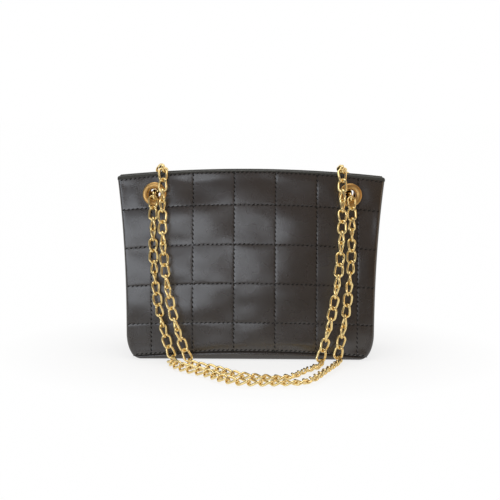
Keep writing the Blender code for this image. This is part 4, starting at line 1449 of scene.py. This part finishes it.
LINK_DROP = 0.8 * MM
EYELET_LINK_Z = EYELET_Z - math.sin(lean_at(EYELET_Z)) * EYELET_DEPTH / 2.0 - LINK_DROP
INNER_LINKS = 4
INNER_END = ((INNER_LINKS - 1) * FUSED_PITCH + LINK_LENGTH) / 2.0
HANG_Y = INNER_END - HOOK


def pivot_of(handle, side):
    """The point that a strand hangs from."""
    if handle == "front":
        return Vector((beside(side, FRONT_HANG_INSET), -HANG_Y, EYELET_LINK_Z))
    return Vector((beside(side, CREST_INSET), -CREST_REACH, CREST_HEIGHT))


def knee_of(handle, side):
    """The point where a strand ends just above the ground."""
    return Vector((beside(side, KNEE_INSETS[handle, side]), -KNEE_REACH[handle], KNEE_HEIGHT))


print("front strands hang from", round(1000 * EYELET_LINK_Z, 1), "mm above the ground")

# %% The runs of the chain


def add_inner_chain(side):
    """The chain inside the bag, from a front eyelet to the rear one."""
    start = Vector((beside(side), -INNER_END, EYELET_LINK_Z))
    stops = [start + Vector((0.0, FUSED_PITCH * link, 0.0)) for link in range(INNER_LINKS + 1)]
    turns = (QUARTER_TURN, 0.0, LINK_TURN)
    add_run(["inner_chain_" + SIDE_NAMES[side]], [INNER_LINKS], stops, turns, "bag")


def add_rise(side):
    """The chain from a rear eyelet up and over both top edges."""
    crest = beside(side, CREST_INSET)
    edge = bowed(BAG_HEIGHT, TOP_BOW, crest) + CREST_CLEARANCE
    start = Vector((beside(side), HANG_Y, EYELET_LINK_Z))
    end = pivot_of("rear", side)
    tip = Vector((0.0, -TOP_HALF_DEPTH, edge)) - Vector((0.0, -CREST_REACH, CREST_HEIGHT))
    end -= tip.normalized() * HOOK

    def points(slack):
        bulge = slack * RUN_BULGE
        return [
            start,
            Vector((start.x, start.y + bulge, (start.z + edge) / 2.0)),
            Vector(((start.x + crest) / 2.0, TOP_HALF_DEPTH + bulge, edge)),
            Vector((crest, 0.0, edge)),
            Vector((crest, -TOP_HALF_DEPTH, edge)),
            end,
        ]

    count = link_count(length_of(smooth_route(points(0.0))), BENT_PITCH)
    stops = fit_run(points, [count], BENT_PITCH)
    turns = (0.0, QUARTER_TURN, QUARTER_TURN)
    add_run(["rear_rise_" + SIDE_NAMES[side]], [count], stops, turns, "bag")


def add_strand(handle, side):
    """One hanging strand of a handle."""
    pivot, knee = pivot_of(handle, side), knee_of(handle, side)

    def points(slack):
        route = []
        for number in range(STRAND_POINTS + 1):
            share = number / STRAND_POINTS
            point = pivot.lerp(knee, share)
            point.x = pivot.x + (knee.x - pivot.x) * share ** STRAND_POWER[side]
            point.y -= slack * RUN_BULGE * math.sin(HALF_TURN * share)
            route.append(point)
        return route

    count = link_count(length_of(smooth_route(points(0.0))))
    name = handle + "_strand_" + SIDE_NAMES[side]
    turns = (0.0, 0.0, LINK_TURN)
    add_run([name], [count], fit_run(points, [count]), turns, handle + "_strands")
    print(name, "links:", count)


def loop_end(handle, side):
    """Where a loop hooks into its strand's slanting last link."""
    pivot, knee = pivot_of(handle, side), knee_of(handle, side)
    slope = (pivot.x - knee.x) * STRAND_POWER[side] / (pivot.z - knee.z)
    return Vector((knee.x + slope * LINK_HALF_WIDTH / 2.0, knee.y + HOOK, LOOP_HEIGHT))


def add_loop(handle):
    """The part of a handle that lies on the ground in front of the bag."""
    start, end = loop_end(handle, LEFT), loop_end(handle, RIGHT)
    span, reach = end.x - start.x, LOOP_REACH[handle]

    def points(slack):
        out = reach * (LOOP_TIGHTEST + slack)
        return [
            Vector((start.x + span * across, start.y - out * share, LOOP_HEIGHT))
            for across, share in LOOP_SHARES[handle]
        ]

    length = length_of(smooth_route(points(1.0 - LOOP_TIGHTEST)))
    length += 2.0 * (FUSED_PITCH - LOOSE_PITCH)
    total = round((length - LINK_LENGTH) / FUSED_PITCH) + 1
    third = total // 3
    counts = [third, total - third - third, third]
    names = [handle + "_loop_" + part for part in ("left", "middle", "right")]
    turns = (QUARTER_TURN, 0.0, QUARTER_TURN)
    add_run(names, counts, fit_run(points, counts), turns, handle + "_loop", lies=True)
    print(handle, "loop links:", total)


for hand in (LEFT, RIGHT):
    add_inner_chain(hand)
    add_rise(hand)
    add_strand("front", hand)
    add_strand("rear", hand)
add_loop("front")
add_loop("rear")
